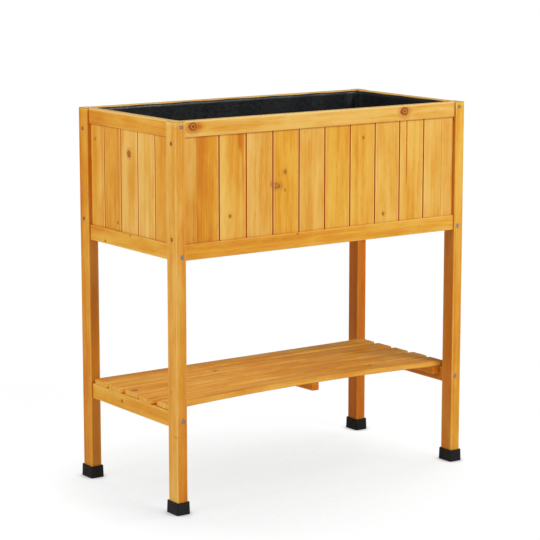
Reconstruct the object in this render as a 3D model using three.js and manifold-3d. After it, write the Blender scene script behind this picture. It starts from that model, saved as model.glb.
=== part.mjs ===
// Elevated planter: a boarded timber trough on four straight legs, with an open shelf between the legs.
// Units are millimetres. +Z is up, +X runs to the right along the front, +Y runs from the front to the back.
// The origin is on the floor, under the middle of the trough.
import * as THREE from 'three';
import { mergeVertices } from 'three/addons/utils/BufferGeometryUtils.js';
import Module from 'manifold-3d';

// Overall sizes
const WIDTH = 780; // over the legs, left to right
const DEPTH = 395; // over the legs, front to back
const HEIGHT = 840; // floor to rim
const FIT = 0.3; // clearance between two pieces that touch

// Legs, planed laths whose long edges are eased
const LEG_WIDTH = 25; // along X
const LEG_DEPTH = 36; // along Y
const LEG_EDGE = 2; // radius of the long edges
const SAWN_EASE = 0.8; // bevel round a sawn end that shows

// Foot caps, moulded cups that the legs stand in
const CAP_HEIGHT = 27;
const CAP_WALL = 3.3; // at the rim
const CAP_FLARE = 0.8; // how much further out the wall stands at the floor
const CAP_FLOOR = 3;
const CAP_RADIUS = 4.5; // of the upright corners, outside
const CAP_EASE = 0.7; // round the bottom edge and the rim

// Wall rails, which carry the boards in a ploughed groove
const RAIL_HEIGHT = 34;
const RAIL_THICK = 20;
const RAIL_EDGE = 2;
const FRONT_INSET = 4; // front and back rails, behind the legs' outer faces
const SIDE_INSET = 5; // end rails, behind the legs' outer faces
const GROOVE_DEPTH = 8;
const TROUGH_HEIGHT = 293; // under edge of the bottom rails to the rim

// Wall boards, tongued and grooved, with a V along each joint
const BOARD_PITCH = 69.3; // width that one whole board covers
const BOARD_THICK = 9;
const BOARD_RECESS = 5; // face of the boards behind the face of the rails
const TONGUE_THICK = 3;
const TONGUE_LENGTH = 4;
const JOINT_V = 2.2; // bevel on either side of a joint
const FRONT_FIRST_BOARD = 56; // the first board is sawn narrower, and the last fills what is left
const END_FIRST_BOARD = 55;
const NARROWEST_BOARD = 20;

// Stiles, at both ends of the front and back walls; the legs are screwed to them
const STILE_WIDTH = 34;

// Screw holes: through the legs with a countersink outside, and a pilot hole in the end grain behind them
const SCREW_HOLE = 4.2; // diameter through a leg
const SCREW_SINK = 8.4; // diameter of the countersink
const SINK_DEEPER = 0.2; // how far the head goes below the face
const PILOT_HOLE = 2.8; // diameter
const PILOT_DEPTH = 24;
const TOP_SCREW_DROP = 11.5; // top screw of the end wall, below the rim
const BOTTOM_SCREW_LIFT = 9.5; // bottom screw of the end wall, above the under edge of the rail
const STILE_SCREW_INSET = 12; // screws of a stile, in from the rails above and below

// Trough floor: boards across two ledger strips
const LEDGER_WIDTH = 18;
const LEDGER_HEIGHT = 18;
const LEDGER_LIFT = 3; // above the under edge of the bottom rails
const FLOOR_BOARDS = 6;
const FLOOR_THICK = 10;
const FLOOR_GAP = 5; // drains
const HIDDEN_EDGE = 1; // radius of the edges of the ledgers and floor boards

// Liner, a film bag that keeps the timber dry
const LINER_THICK = 0.8;
const LINER_DROP = 3; // rim of the liner below the rim of the trough
const LINER_RADIUS = 8; // upright corners

// Shelf: slats on two end rails, held in place by battens nailed under them
const SHELF_HEIGHT = 232; // floor to the top of the slats at their ends
const SHELF_BOW = 8.5; // how far its front edge stands up in the middle; the back edge is straight
const SHELF_RAIL_HEIGHT = 34;
const SLATS = 5;
const SLAT_THICK = 12;
const SLAT_GAP = 12;
const SLAT_EDGE = 2.5;
const SHELF_MARGIN = 7.5; // between the outer slats and the plane of the legs' inner faces
const SLAT_LEFT_RESTS = [3, -3, 2, -1, 0.5]; // each end in from the left rail's outer face, front to back
const SLAT_RIGHT_RESTS = [9, 6, 11, 10.5, 12.5]; // and from the right rail's
const BATTEN_WIDTH = 18;
const BATTEN_HEIGHT = 17;
const BATTEN_EDGE = 1.5;
const BATTEN_GAP = 3; // between an outer batten and the rail beside it
const BATTEN_SHIFT = 5; // the middle batten, off the middle of the shelf

// Levels
const troughBottom = HEIGHT - TROUGH_HEIGHT;
const lowerRailTop = troughBottom + RAIL_HEIGHT;
const upperRailBottom = HEIGHT - RAIL_HEIGHT;
const floorBottom = troughBottom + LEDGER_LIFT + LEDGER_HEIGHT + FIT;
const floorTop = floorBottom + FLOOR_THICK;
const slatBottom = SHELF_HEIGHT - SLAT_THICK;

const shelfRailMiddle = slatBottom - FIT - SHELF_RAIL_HEIGHT / 2;

// Screws: the ones through the legs' front and back faces hold the end walls and the shelf, and the ones
// through the legs' side faces hold the stiles
const topRailScrew = HEIGHT - TOP_SCREW_DROP;
const bottomRailScrew = troughBottom + BOTTOM_SCREW_LIFT;
const railScrewDepth = RAIL_THICK / 2; // behind the face of the rails
const stileScrews = [lowerRailTop + STILE_SCREW_INSET, upperRailBottom - STILE_SCREW_INSET];
const stileScrewDepth = (BOARD_RECESS + RAIL_THICK) / 2; // behind the face of the rails

// Plan: clear lengths between the legs, and the room inside the trough
const frontSpan = WIDTH - 2 * LEG_WIDTH;
const endSpan = DEPTH - 2 * LEG_DEPTH;
const insideHalfX = WIDTH / 2 - Math.max(LEG_WIDTH, SIDE_INSET + RAIL_THICK) - FIT;
const insideHalfY = DEPTH / 2 - FRONT_INSET - RAIL_THICK - FIT;

// Finishes
const FRAME_WOOD = { color: 0xdfa24a, roughness: 0.5 };
const BOARD_WOOD = { color: 0xe3ac52, roughness: 0.5 };
const SHELF_WOOD = { color: 0xd8963f, roughness: 0.55 };
const RAW_WOOD = { color: 0xd9b27c, roughness: 0.75 };
const CAP_RUBBER = { color: 0x2b2b27, roughness: 0.6 };
const LINER_FILM = { color: 0x1c1d1f, roughness: 0.4 };

// Turns a piece that is made along +Z to lie along X or along Y, with its second side upright
const ALONG_X = new THREE.Matrix4().makeBasis(
  new THREE.Vector3(0, 1, 0),
  new THREE.Vector3(0, 0, 1),
  new THREE.Vector3(1, 0, 0),
);
const ALONG_Y = new THREE.Matrix4().makeBasis(
  new THREE.Vector3(-1, 0, 0),
  new THREE.Vector3(0, 0, 1),
  new THREE.Vector3(0, 1, 0),
);
const CURVE_STEPS = 3; // on one rounded edge
const CORNER_STEPS = 4; // on one upright corner of a cup
const HOLE_STEPS = 14; // round a screw hole
const BOW_STEPS = 11; // along a bowed slat; an odd number leaves a level step in the middle
const OVERCUT = 1; // how far a cut starts outside the piece

const wasm = await Module();
wasm.setup();

function piece(name, geometry, finish) {
  const material = new THREE.MeshStandardMaterial({ metalness: 0, ...finish });
  const mesh = new THREE.Mesh(geometry, material);
  mesh.name = name;
  return mesh;
}

// A closed outline through corners [x, y, radius]; a corner without a radius stays sharp.
function outline(corners) {
  const shape = new THREE.Shape();
  corners.forEach(([x, y, radius = 0], index) => {
    const corner = new THREE.Vector2(x, y);
    const [lastX, lastY] = corners.at(index - 1);
    const [nextX, nextY] = corners[(index + 1) % corners.length];
    const towardLast = new THREE.Vector2(lastX, lastY).sub(corner).setLength(radius);
    const towardNext = new THREE.Vector2(nextX, nextY).sub(corner).setLength(radius);
    const from = corner.clone().add(towardLast);
    const to = corner.clone().add(towardNext);
    if (index === 0) {
      shape.moveTo(from.x, from.y);
    } else {
      shape.lineTo(from.x, from.y);
    }
    if (radius > 0) {
      shape.quadraticCurveTo(x, y, to.x, to.y);
    }
  });
  shape.closePath();
  return shape;
}

// A section carried along +Z from z = 0.
function moulding(section, length) {
  const settings = { depth: length, curveSegments: CURVE_STEPS, bevelEnabled: false };
  return new THREE.ExtrudeGeometry(section, settings);
}

// A ring of points round a rectangle with rounded corners, at one height.
function ring(width, depth, radius, z) {
  const points = [];
  for (let corner = 0; corner < 4; corner += 1) {
    const middle = (corner + 0.5) * Math.PI / 2;
    const centreX = Math.sign(Math.cos(middle)) * (width / 2 - radius);
    const centreY = Math.sign(Math.sin(middle)) * (depth / 2 - radius);
    for (let step = 0; step <= CORNER_STEPS; step += 1) {
      const angle = (corner + step / CORNER_STEPS) * Math.PI / 2;
      const x = centreX + radius * Math.cos(angle);
      const y = centreY + radius * Math.sin(angle);
      points.push(new THREE.Vector3(x, y, z));
    }
  }
  return points;
}

// Skins a row of rings into one closed body, with a flat face over the first ring and over the last.
function loft(rings) {
  const count = rings[0].length;
  const sumOf = (points) => points.reduce((sum, point) => sum.add(point), new THREE.Vector3());
  const middleOf = (points) => sumOf(points).divideScalar(count);
  const vertices = [...rings.flat(), middleOf(rings[0]), middleOf(rings.at(-1))];
  const firstMiddle = rings.length * count;
  const lastMiddle = firstMiddle + 1;
  const lastStart = (rings.length - 1) * count;
  const faces = [];
  for (let i = 0; i < count; i += 1) {
    const j = (i + 1) % count;
    for (let row = 0; row < rings.length - 1; row += 1) {
      const low = row * count;
      const high = low + count;
      faces.push(low + i, low + j, high + j);
      faces.push(low + i, high + j, high + i);
    }
    faces.push(firstMiddle, j, i);
    faces.push(lastMiddle, lastStart + i, lastStart + j);
  }
  const geometry = new THREE.BufferGeometry().setFromPoints(vertices);
  geometry.setIndex(faces);
  return geometry;
}

// The rings of a planed lath standing on z = 0, centred in x and y, with eased long edges and bevelled ends.
function lathRings(width, thick, length, edge, ease, steps = 1) {
  const small = (z) => ring(width - 2 * ease, thick - 2 * ease, edge, z);
  const shares = Array.from({ length: steps + 1 }, (_, step) => step / steps);
  const full = shares.map((share) => ring(width, thick, edge, ease + share * (length - 2 * ease)));
  return [small(0), ...full, small(length)];
}

function lath(width, thick, length, edge, ease) {
  return loft(lathRings(width, thick, length, edge, ease));
}

// The same lath bent toward +Y, as far as lift says for each place across it and along it.
function bentLath(width, thick, length, edge, ease, steps, lift) {
  const rings = lathRings(width, thick, length, edge, ease, steps);
  return loft(rings.map((points) => points.map((point) => point.setY(point.y + lift(point.x, point.z)))));
}

// A round hole as a solid: rows of [radius, depth] carried from a point of a face into the piece.
function hole(rows, start, direction) {
  const rings = rows.map(([radius, depth]) => {
    const turns = Array.from({ length: HOLE_STEPS }, (_, step) => 2 * Math.PI * step / HOLE_STEPS);
    return turns.map((turn) => new THREE.Vector3(radius * Math.cos(turn), radius * Math.sin(turn), depth));
  });
  const aim = new THREE.Quaternion().setFromUnitVectors(new THREE.Vector3(0, 0, 1), direction);
  return loft(rings).applyQuaternion(aim).translate(start.x, start.y, start.z);
}

function screwHole(start, direction, through) {
  const cone = (SCREW_SINK - SCREW_HOLE) / 2;
  const rows = [
    [SCREW_SINK / 2, -OVERCUT],
    [SCREW_SINK / 2, SINK_DEEPER],
    [SCREW_HOLE / 2, SINK_DEEPER + cone],
    [SCREW_HOLE / 2, through + OVERCUT],
  ];
  return hole(rows, start, direction);
}

function pilotHole(start, direction) {
  const rows = [
    [PILOT_HOLE / 2, -OVERCUT],
    [PILOT_HOLE / 2, PILOT_DEPTH - PILOT_HOLE],
    [PILOT_HOLE / 8, PILOT_DEPTH],
  ];
  return hole(rows, start, direction);
}

function solidOf(geometry) {
  const bare = geometry.clone();
  bare.deleteAttribute('normal');
  bare.deleteAttribute('uv');
  const merged = mergeVertices(bare);
  const vertProperties = Float32Array.from(merged.attributes.position.array);
  const triVerts = Uint32Array.from(merged.index.array);
  return new wasm.Manifold(new wasm.Mesh({ numProp: 3, vertProperties, triVerts }));
}

function drilled(geometry, holes) {
  const body = holes.reduce((solid, cut) => solid.subtract(solidOf(cut)), solidOf(geometry));
  const { vertProperties, triVerts } = body.getMesh();
  const result = new THREE.BufferGeometry();
  result.setAttribute('position', new THREE.BufferAttribute(vertProperties, 3));
  result.setIndex(new THREE.BufferAttribute(triVerts, 1));
  return result;
}

// A leg is centred in its corner. xSide and ySide say which of its faces look outwards.
function leg(name, xSide, ySide) {
  const bottom = CAP_FLOOR + FIT;
  const geometry = lath(LEG_WIDTH, LEG_DEPTH, HEIGHT - bottom, LEG_EDGE, SAWN_EASE).translate(0, 0, bottom);
  const outerX = xSide * LEG_WIDTH / 2;
  const outerY = ySide * LEG_DEPTH / 2;
  const railScrewX = outerX - xSide * (SIDE_INSET + railScrewDepth);
  const stileScrewY = outerY - ySide * (FRONT_INSET + stileScrewDepth);
  const holes = [topRailScrew, bottomRailScrew, shelfRailMiddle].map((height) => {
    const start = new THREE.Vector3(railScrewX, outerY, height);
    return screwHole(start, new THREE.Vector3(0, -ySide, 0), LEG_DEPTH);
  });
  for (const height of stileScrews) {
    const start = new THREE.Vector3(outerX, stileScrewY, height);
    holes.push(screwHole(start, new THREE.Vector3(-xSide, 0, 0), LEG_WIDTH));
  }
  return piece(name, drilled(geometry, holes), FRAME_WOOD);
}

function footCap(name) {
  const pocketX = LEG_WIDTH + 2 * FIT;
  const pocketY = LEG_DEPTH + 2 * FIT;
  const level = (out, radius, z) => ring(pocketX + 2 * out, pocketY + 2 * out, radius, z);
  const foot = CAP_WALL + CAP_FLARE;
  const geometry = loft([
    level(foot - CAP_EASE, CAP_RADIUS, 0),
    level(foot, CAP_RADIUS, CAP_EASE),
    level(CAP_WALL, CAP_RADIUS, CAP_HEIGHT - CAP_EASE),
    level(CAP_WALL - CAP_EASE, CAP_RADIUS, CAP_HEIGHT),
    level(0, LEG_EDGE, CAP_HEIGHT),
    level(0, LEG_EDGE, CAP_FLOOR),
  ]);
  return piece(name, geometry, CAP_RUBBER);
}

// Rail section: x is the depth behind the rail's face, y is the height over its under edge.
function railSection(grooveOnTop) {
  const grooveFront = BOARD_RECESS - FIT;
  const grooveBack = BOARD_RECESS + BOARD_THICK + FIT;
  const grooveFloor = RAIL_HEIGHT - GROOVE_DEPTH;
  const corners = [
    [0, 0, RAIL_EDGE],
    [RAIL_THICK, 0, RAIL_EDGE],
    [RAIL_THICK, RAIL_HEIGHT, RAIL_EDGE],
    [grooveBack, RAIL_HEIGHT],
    [grooveBack, grooveFloor],
    [grooveFront, grooveFloor],
    [grooveFront, RAIL_HEIGHT],
    [0, RAIL_HEIGHT, RAIL_EDGE],
  ];
  return outline(grooveOnTop ? corners : corners.map(([x, y, radius]) => [x, RAIL_HEIGHT - y, radius]));
}

// Wall pieces are made in the frame of one wall, seen from outside: x runs from its left leg to its right
// one, y goes inwards from the face of the rails, and z is the height over the floor.
function wallRail(name, span, bottom, grooveOnTop) {
  const geometry = moulding(railSection(grooveOnTop), span - 2 * FIT);
  return piece(name, geometry.applyMatrix4(ALONG_X).translate(FIT, 0, bottom), FRAME_WOOD);
}

// A rail of an end wall is held by a screw through the leg at each of its ends.
function screwedRail(name, span, bottom, grooveOnTop, screwHeight) {
  const rail = wallRail(name, span, bottom, grooveOnTop);
  const holes = [[FIT, 1], [span - FIT, -1]].map(([x, way]) => {
    return pilotHole(new THREE.Vector3(x, railScrewDepth, screwHeight), new THREE.Vector3(way, 0, 0));
  });
  rail.geometry = drilled(rail.geometry, holes);
  return rail;
}

// A stile fills the height between the rails, flush with the boards outside and with the rails inside,
// and a tenon at each end enters the groove. The side that meets the leg has the screws' pilot holes.
function stile(name, start, legOnRight) {
  const face = BOARD_RECESS;
  const tenonBack = BOARD_RECESS + BOARD_THICK;
  const tenon = GROOVE_DEPTH - FIT;
  const section = outline([
    [face, lowerRailTop - tenon],
    [tenonBack, lowerRailTop - tenon],
    [tenonBack, lowerRailTop + FIT],
    [RAIL_THICK, lowerRailTop + FIT],
    [RAIL_THICK, upperRailBottom - FIT],
    [tenonBack, upperRailBottom - FIT],
    [tenonBack, upperRailBottom + tenon],
    [face, upperRailBottom + tenon],
  ]);
  const geometry = moulding(section, STILE_WIDTH - 2 * FIT).applyMatrix4(ALONG_X);
  geometry.translate(start + FIT, 0, 0);
  const screwX = legOnRight ? start + STILE_WIDTH - FIT : start + FIT;
  const inwards = new THREE.Vector3(legOnRight ? -1 : 1, 0, 0);
  const holes = stileScrews.map((height) => {
    return pilotHole(new THREE.Vector3(screwX, stileScrewDepth, height), inwards);
  });
  return piece(name, drilled(geometry, holes), FRAME_WOOD);
}

// Joints between boards, from the start of the first to the end of the last.
function boardJoints(start, end, firstBoard) {
  const whole = Math.floor((end - start - firstBoard - NARROWEST_BOARD) / BOARD_PITCH);
  const joints = [start, end];
  for (let i = 0; i <= whole; i += 1) {
    joints.splice(-1, 0, start + firstBoard + i * BOARD_PITCH);
  }
  return joints;
}

// Plan of one board: a groove on its left edge and a tongue on its right, or a plain sawn edge where a
// wall ends.
function boardPlan(start, end, grooved, tongued) {
  const face = BOARD_RECESS;
  const back = face + BOARD_THICK;
  const middle = (face + back) / 2;
  const left = start + (grooved ? FIT / 2 : 0);
  const right = end - (tongued ? FIT / 2 : FIT);
  const tongue = TONGUE_THICK / 2;
  const slot = tongue + FIT;
  const slotEnd = left + TONGUE_LENGTH + FIT;
  const plainRight = [[right, face], [right, back]];
  const tongueRight = [
    [right - JOINT_V, face],
    [right, face + JOINT_V],
    [right, middle - tongue],
    [right + TONGUE_LENGTH, middle - tongue],
    [right + TONGUE_LENGTH, middle + tongue],
    [right, middle + tongue],
    [right, back],
  ];
  const plainLeft = [[left, back], [left, face]];
  const grooveLeft = [
    [left, back],
    [left, middle + slot],
    [slotEnd, middle + slot],
    [slotEnd, middle - slot],
    [left, middle - slot],
    [left, face + JOINT_V],
    [left + JOINT_V, face],
  ];
  return outline([...(tongued ? tongueRight : plainRight), ...(grooved ? grooveLeft : plainLeft)]);
}

// Plan of a whole wall of boards in one body, with the V of each joint in its face.
function boardRunPlan(joints) {
  const face = BOARD_RECESS;
  const back = face + BOARD_THICK;
  const halfV = JOINT_V + FIT / 2;
  const notch = (x) => [[x - halfV, face], [x, face + halfV], [x + halfV, face]];
  const notches = joints.slice(1, -1).flatMap(notch);
  const right = joints.at(-1) - FIT;
  return outline([[joints[0], face], ...notches, [right, face], [right, back], [joints[0], back]]);
}

function standBoard(name, plan) {
  const housed = GROOVE_DEPTH - FIT;
  const bottom = lowerRailTop - housed;
  const geometry = moulding(plan, upperRailBottom + housed - bottom);
  return piece(name, geometry.translate(0, 0, bottom), BOARD_WOOD);
}

function separateBoards(side, joints) {
  const last = joints.length - 2;
  return joints.slice(0, -1).map((start, i) => {
    const plan = boardPlan(start, joints[i + 1], i > 0, i < last);
    return standBoard(`${side}_board_${i + 1}`, plan);
  });
}

// The front and back walls have stiles, and their boards start and end beside them.
function longWall(side, stileNames, boards) {
  const group = new THREE.Group();
  const joints = boardJoints(STILE_WIDTH, frontSpan - STILE_WIDTH, FRONT_FIRST_BOARD);
  group.add(wallRail(`${side}_bottom_rail`, frontSpan, troughBottom, true));
  group.add(wallRail(`${side}_top_rail`, frontSpan, upperRailBottom, false));
  group.add(...boards(side, joints));
  group.add(stile(stileNames[0], 0, false), stile(stileNames[1], frontSpan - STILE_WIDTH, true));
  return group;
}

// The end walls have boards from leg to leg.
function endWall(side, boards) {
  const group = new THREE.Group();
  const joints = boardJoints(FIT, endSpan, END_FIRST_BOARD);
  group.add(screwedRail(`${side}_bottom_rail`, endSpan, troughBottom, true, bottomRailScrew));
  group.add(screwedRail(`${side}_top_rail`, endSpan, upperRailBottom, false, topRailScrew));
  group.add(...boards(side, joints));
  return group;
}

function boardsInOne(side, joints) {
  return [standBoard(`${side}_boards`, boardRunPlan(joints))];
}

function place(group, x, y, turn) {
  group.position.set(x, y, 0);
  group.rotation.z = turn;
  return group;
}

function legsAndCaps() {
  const group = new THREE.Group();
  for (const [endName, yFactor] of [['front', -1], ['back', 1]]) {
    for (const [sideName, xFactor] of [['left', -1], ['right', 1]]) {
      const corner = new THREE.Group();
      corner.add(leg(`leg_${endName}_${sideName}`, xFactor, yFactor));
      corner.add(footCap(`foot_cap_${endName}_${sideName}`));
      corner.position.x = xFactor * (WIDTH - LEG_WIDTH) / 2;
      corner.position.y = yFactor * (DEPTH - LEG_DEPTH) / 2;
      group.add(corner);
    }
  }
  return group;
}

function troughFloor() {
  const group = new THREE.Group();
  for (const [name, factor] of [['front', -1], ['back', 1]]) {
    const ledger = lath(LEDGER_WIDTH, LEDGER_HEIGHT, 2 * insideHalfX, HIDDEN_EDGE, HIDDEN_EDGE);
    const y = factor * (insideHalfY - LEDGER_WIDTH / 2);
    ledger.applyMatrix4(ALONG_X).translate(-insideHalfX, y, troughBottom + LEDGER_LIFT + LEDGER_HEIGHT / 2);
    group.add(piece(`floor_ledger_${name}`, ledger, RAW_WOOD));
  }
  const boardWidth = (2 * insideHalfX - (FLOOR_BOARDS - 1) * FLOOR_GAP) / FLOOR_BOARDS;
  for (let i = 0; i < FLOOR_BOARDS; i += 1) {
    const board = lath(boardWidth, FLOOR_THICK, 2 * insideHalfY, HIDDEN_EDGE, HIDDEN_EDGE);
    const x = -insideHalfX + boardWidth / 2 + i * (boardWidth + FLOOR_GAP);
    board.applyMatrix4(ALONG_Y).translate(x, -insideHalfY, floorBottom + FLOOR_THICK / 2);
    group.add(piece(`floor_board_${i + 1}`, board, RAW_WOOD));
  }
  return group;
}

function liner() {
  const level = (inwards, z) => {
    const width = 2 * (insideHalfX - inwards);
    const depth = 2 * (insideHalfY - inwards);
    return ring(width, depth, LINER_RADIUS - inwards, z);
  };
  const bottom = floorTop + FIT;
  const rim = HEIGHT - LINER_DROP;
  const skin = loft([
    level(0, bottom),
    level(0, rim),
    level(LINER_THICK, rim),
    level(LINER_THICK, bottom + LINER_THICK),
  ]);
  return piece('liner', skin, LINER_FILM);
}

function shelf() {
  const group = new THREE.Group();
  const railOuter = WIDTH / 2 - SIDE_INSET;
  const railInner = railOuter - RAIL_THICK;
  for (const [name, factor] of [['left', -1], ['right', 1]]) {
    const rail = lath(RAIL_THICK, SHELF_RAIL_HEIGHT, endSpan - 2 * FIT, RAIL_EDGE, SAWN_EASE);
    const x = factor * (railOuter + railInner) / 2;
    rail.applyMatrix4(ALONG_Y).translate(x, -endSpan / 2 + FIT, shelfRailMiddle);
    const holes = [-1, 1].map((way) => {
      const start = new THREE.Vector3(x, way * (endSpan / 2 - FIT), shelfRailMiddle);
      return pilotHole(start, new THREE.Vector3(0, -way, 0));
    });
    group.add(piece(`shelf_rail_${name}`, drilled(rail, holes), FRAME_WOOD));
  }
  const fieldDepth = endSpan - 2 * SHELF_MARGIN;
  const slatWidth = (fieldDepth - (SLATS - 1) * SLAT_GAP) / SLATS;
  // How far the shelf stands up at a share of its length and a depth: most at the front edge's middle.
  const rise = (share, y) => SHELF_BOW * (1 - (2 * share - 1) ** 2) * (0.5 - y / fieldDepth);
  const slatEnds = [];
  for (let i = 0; i < SLATS; i += 1) {
    const start = -railOuter + SLAT_LEFT_RESTS[i % SLAT_LEFT_RESTS.length];
    const length = railOuter - SLAT_RIGHT_RESTS[i % SLAT_RIGHT_RESTS.length] - start;
    const y = -fieldDepth / 2 + slatWidth / 2 + i * (slatWidth + SLAT_GAP);
    const lift = (across, along) => rise(along / length, y + across);
    const slat = bentLath(slatWidth, SLAT_THICK, length, SLAT_EDGE, SAWN_EASE, BOW_STEPS, lift);
    slat.applyMatrix4(ALONG_X).translate(start, y, slatBottom + SLAT_THICK / 2);
    group.add(piece(`shelf_slat_${i + 1}`, slat, SHELF_WOOD));
    slatEnds.push([start, length]);
  }
  const outerBatten = railInner - BATTEN_GAP - BATTEN_WIDTH / 2;
  for (const [name, x] of [['left', -outerBatten], ['middle', BATTEN_SHIFT], ['right', outerBatten]]) {
    const sides = [x - BATTEN_WIDTH / 2, x + BATTEN_WIDTH / 2];
    const shares = slatEnds.flatMap(([start, length]) => sides.map((side) => (side - start) / length));
    const share = shares.reduce((a, b) => (Math.abs(a - 0.5) > Math.abs(b - 0.5) ? a : b));
    const lift = (across, along) => rise(share, along - fieldDepth / 2);
    const batten = bentLath(BATTEN_WIDTH, BATTEN_HEIGHT, fieldDepth, BATTEN_EDGE, SAWN_EASE, 1, lift);
    batten.applyMatrix4(ALONG_Y).translate(x, -fieldDepth / 2, slatBottom - FIT - BATTEN_HEIGHT / 2);
    group.add(piece(`shelf_batten_${name}`, batten, SHELF_WOOD));
  }
  return group;
}

const frontWall = longWall('front', ['front_left_stile', 'front_right_stile'], separateBoards);
const backWall = longWall('back', ['back_right_stile', 'back_left_stile'], boardsInOne);
const leftWall = endWall('left', separateBoards);
const rightWall = endWall('right', boardsInOne);

const planter = new THREE.Group();
planter.add(
  legsAndCaps(),
  place(frontWall, -frontSpan / 2, -DEPTH / 2 + FRONT_INSET, 0),
  place(backWall, frontSpan / 2, DEPTH / 2 - FRONT_INSET, Math.PI),
  place(leftWall, -WIDTH / 2 + SIDE_INSET, endSpan / 2, -Math.PI / 2),
  place(rightWall, WIDTH / 2 - SIDE_INSET, -endSpan / 2, Math.PI / 2),
  troughFloor(),
  liner(),
  shelf(),
);

export default planter;
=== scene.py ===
# %% [markdown]
# This lesson dresses an elevated planter: a boarded softwood trough on four legs, with a slatted
# shelf between them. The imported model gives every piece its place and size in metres, with +Z up
# and the floor at zero. Each piece of timber is made again here as a fine surface with soft arrises,
# so that it can carry its own grain, and each new piece stands for the node whose place it takes.

# %% Load the frame
import math
from functools import partial
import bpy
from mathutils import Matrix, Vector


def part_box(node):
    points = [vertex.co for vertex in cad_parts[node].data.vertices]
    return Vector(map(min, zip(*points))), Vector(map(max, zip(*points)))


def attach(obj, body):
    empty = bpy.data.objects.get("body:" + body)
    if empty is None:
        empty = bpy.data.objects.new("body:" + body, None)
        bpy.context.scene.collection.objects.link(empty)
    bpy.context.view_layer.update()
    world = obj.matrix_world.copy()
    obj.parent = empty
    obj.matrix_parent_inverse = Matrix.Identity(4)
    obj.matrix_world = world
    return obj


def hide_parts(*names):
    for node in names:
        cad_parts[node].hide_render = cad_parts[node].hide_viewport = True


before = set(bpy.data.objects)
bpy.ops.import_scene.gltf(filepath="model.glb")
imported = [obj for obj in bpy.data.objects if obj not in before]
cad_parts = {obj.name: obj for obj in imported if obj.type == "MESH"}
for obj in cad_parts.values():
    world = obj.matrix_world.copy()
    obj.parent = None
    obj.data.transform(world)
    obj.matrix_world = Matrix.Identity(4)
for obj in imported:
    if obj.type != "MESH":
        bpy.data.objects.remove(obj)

from types import SimpleNamespace

import bpy
import numpy as np
from mathutils import Matrix, Vector

MM = 0.001
X, Y, Z = np.eye(3)


def box_of(name):
    """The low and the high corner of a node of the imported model."""
    return np.array(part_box(name))


def bell(value, middle, width):
    """1 where a value in metres is at the middle, and less to both sides. The other two are in mm."""
    return np.exp(-((value - middle * MM) / (width * MM)) ** 2)


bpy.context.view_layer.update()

# %% [markdown]
# A colour is easiest to judge on a screen, so every colour below is written as the screen shows it.
# A renderer adds light, which works on linear values, so one function turns the code into those.

# %% Colours and nodes
def colour(code):
    """A colour written as a screen code, such as E3AC52, as linear red, green, blue and alpha."""
    screen = np.array([int(code[i:i + 2], 16) for i in (0, 2, 4)]) / 255
    linear = np.where(screen <= 0.04045, screen / 12.92, ((screen + 0.055) / 1.055) ** 2.4)
    return (*linear.tolist(), 1.0)


SOFT = dict(interpolation_type="SMOOTHSTEP")  # a Map Range node with soft ends
COLOURS = dict(out=2, data_type="RGBA")  # a Mix node of two colours, by socket 0 from 6 to 7


def feed(node, inputs):
    """Sets a node's sockets, by name or number, to a value or a colour's code, or links them to an output."""
    for key, value in inputs.items():
        if isinstance(value, bpy.types.NodeSocket):
            node.id_data.links.new(value, node.inputs[key])
        else:
            node.inputs[key].default_value = colour(value) if isinstance(value, str) else value


def add_node(tree, kind, inputs=(), out=0, **settings):
    """Adds a shader node with its settings and links, and gives one of its outputs. The kind leaves out the
    word ShaderNode. inputs lists what the first sockets get, or names the sockets."""
    node = tree.nodes.new("ShaderNode" + kind)
    for key, value in settings.items():
        setattr(node, key, value)
    feed(node, inputs if isinstance(inputs, dict) else dict(enumerate(inputs)))
    return node.outputs[out]


def new_material(name):
    """A material, add_node for its tree, and its surface shader, which the finishes below fill in."""
    material = bpy.data.materials.new(name)
    material.use_nodes = True
    tree = material.node_tree
    return material, partial(add_node, tree), tree.nodes["Principled BSDF"]


print("honey glaze as linear light:", [round(v, 3) for v in colour("E3AC52")])

# %% [markdown]
# A piece of timber is one section carried along its length. The section starts as a few corners,
# each with a radius for its arris. Straight stretches are cut into short steps, so that the surface
# has points wherever the grain turns, as it does round a knot.

# %% Sections
ARC_STEPS = 4
SHADE_EDGE = 1.6 * MM  # how far the tone of an arris reaches onto the face


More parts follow.
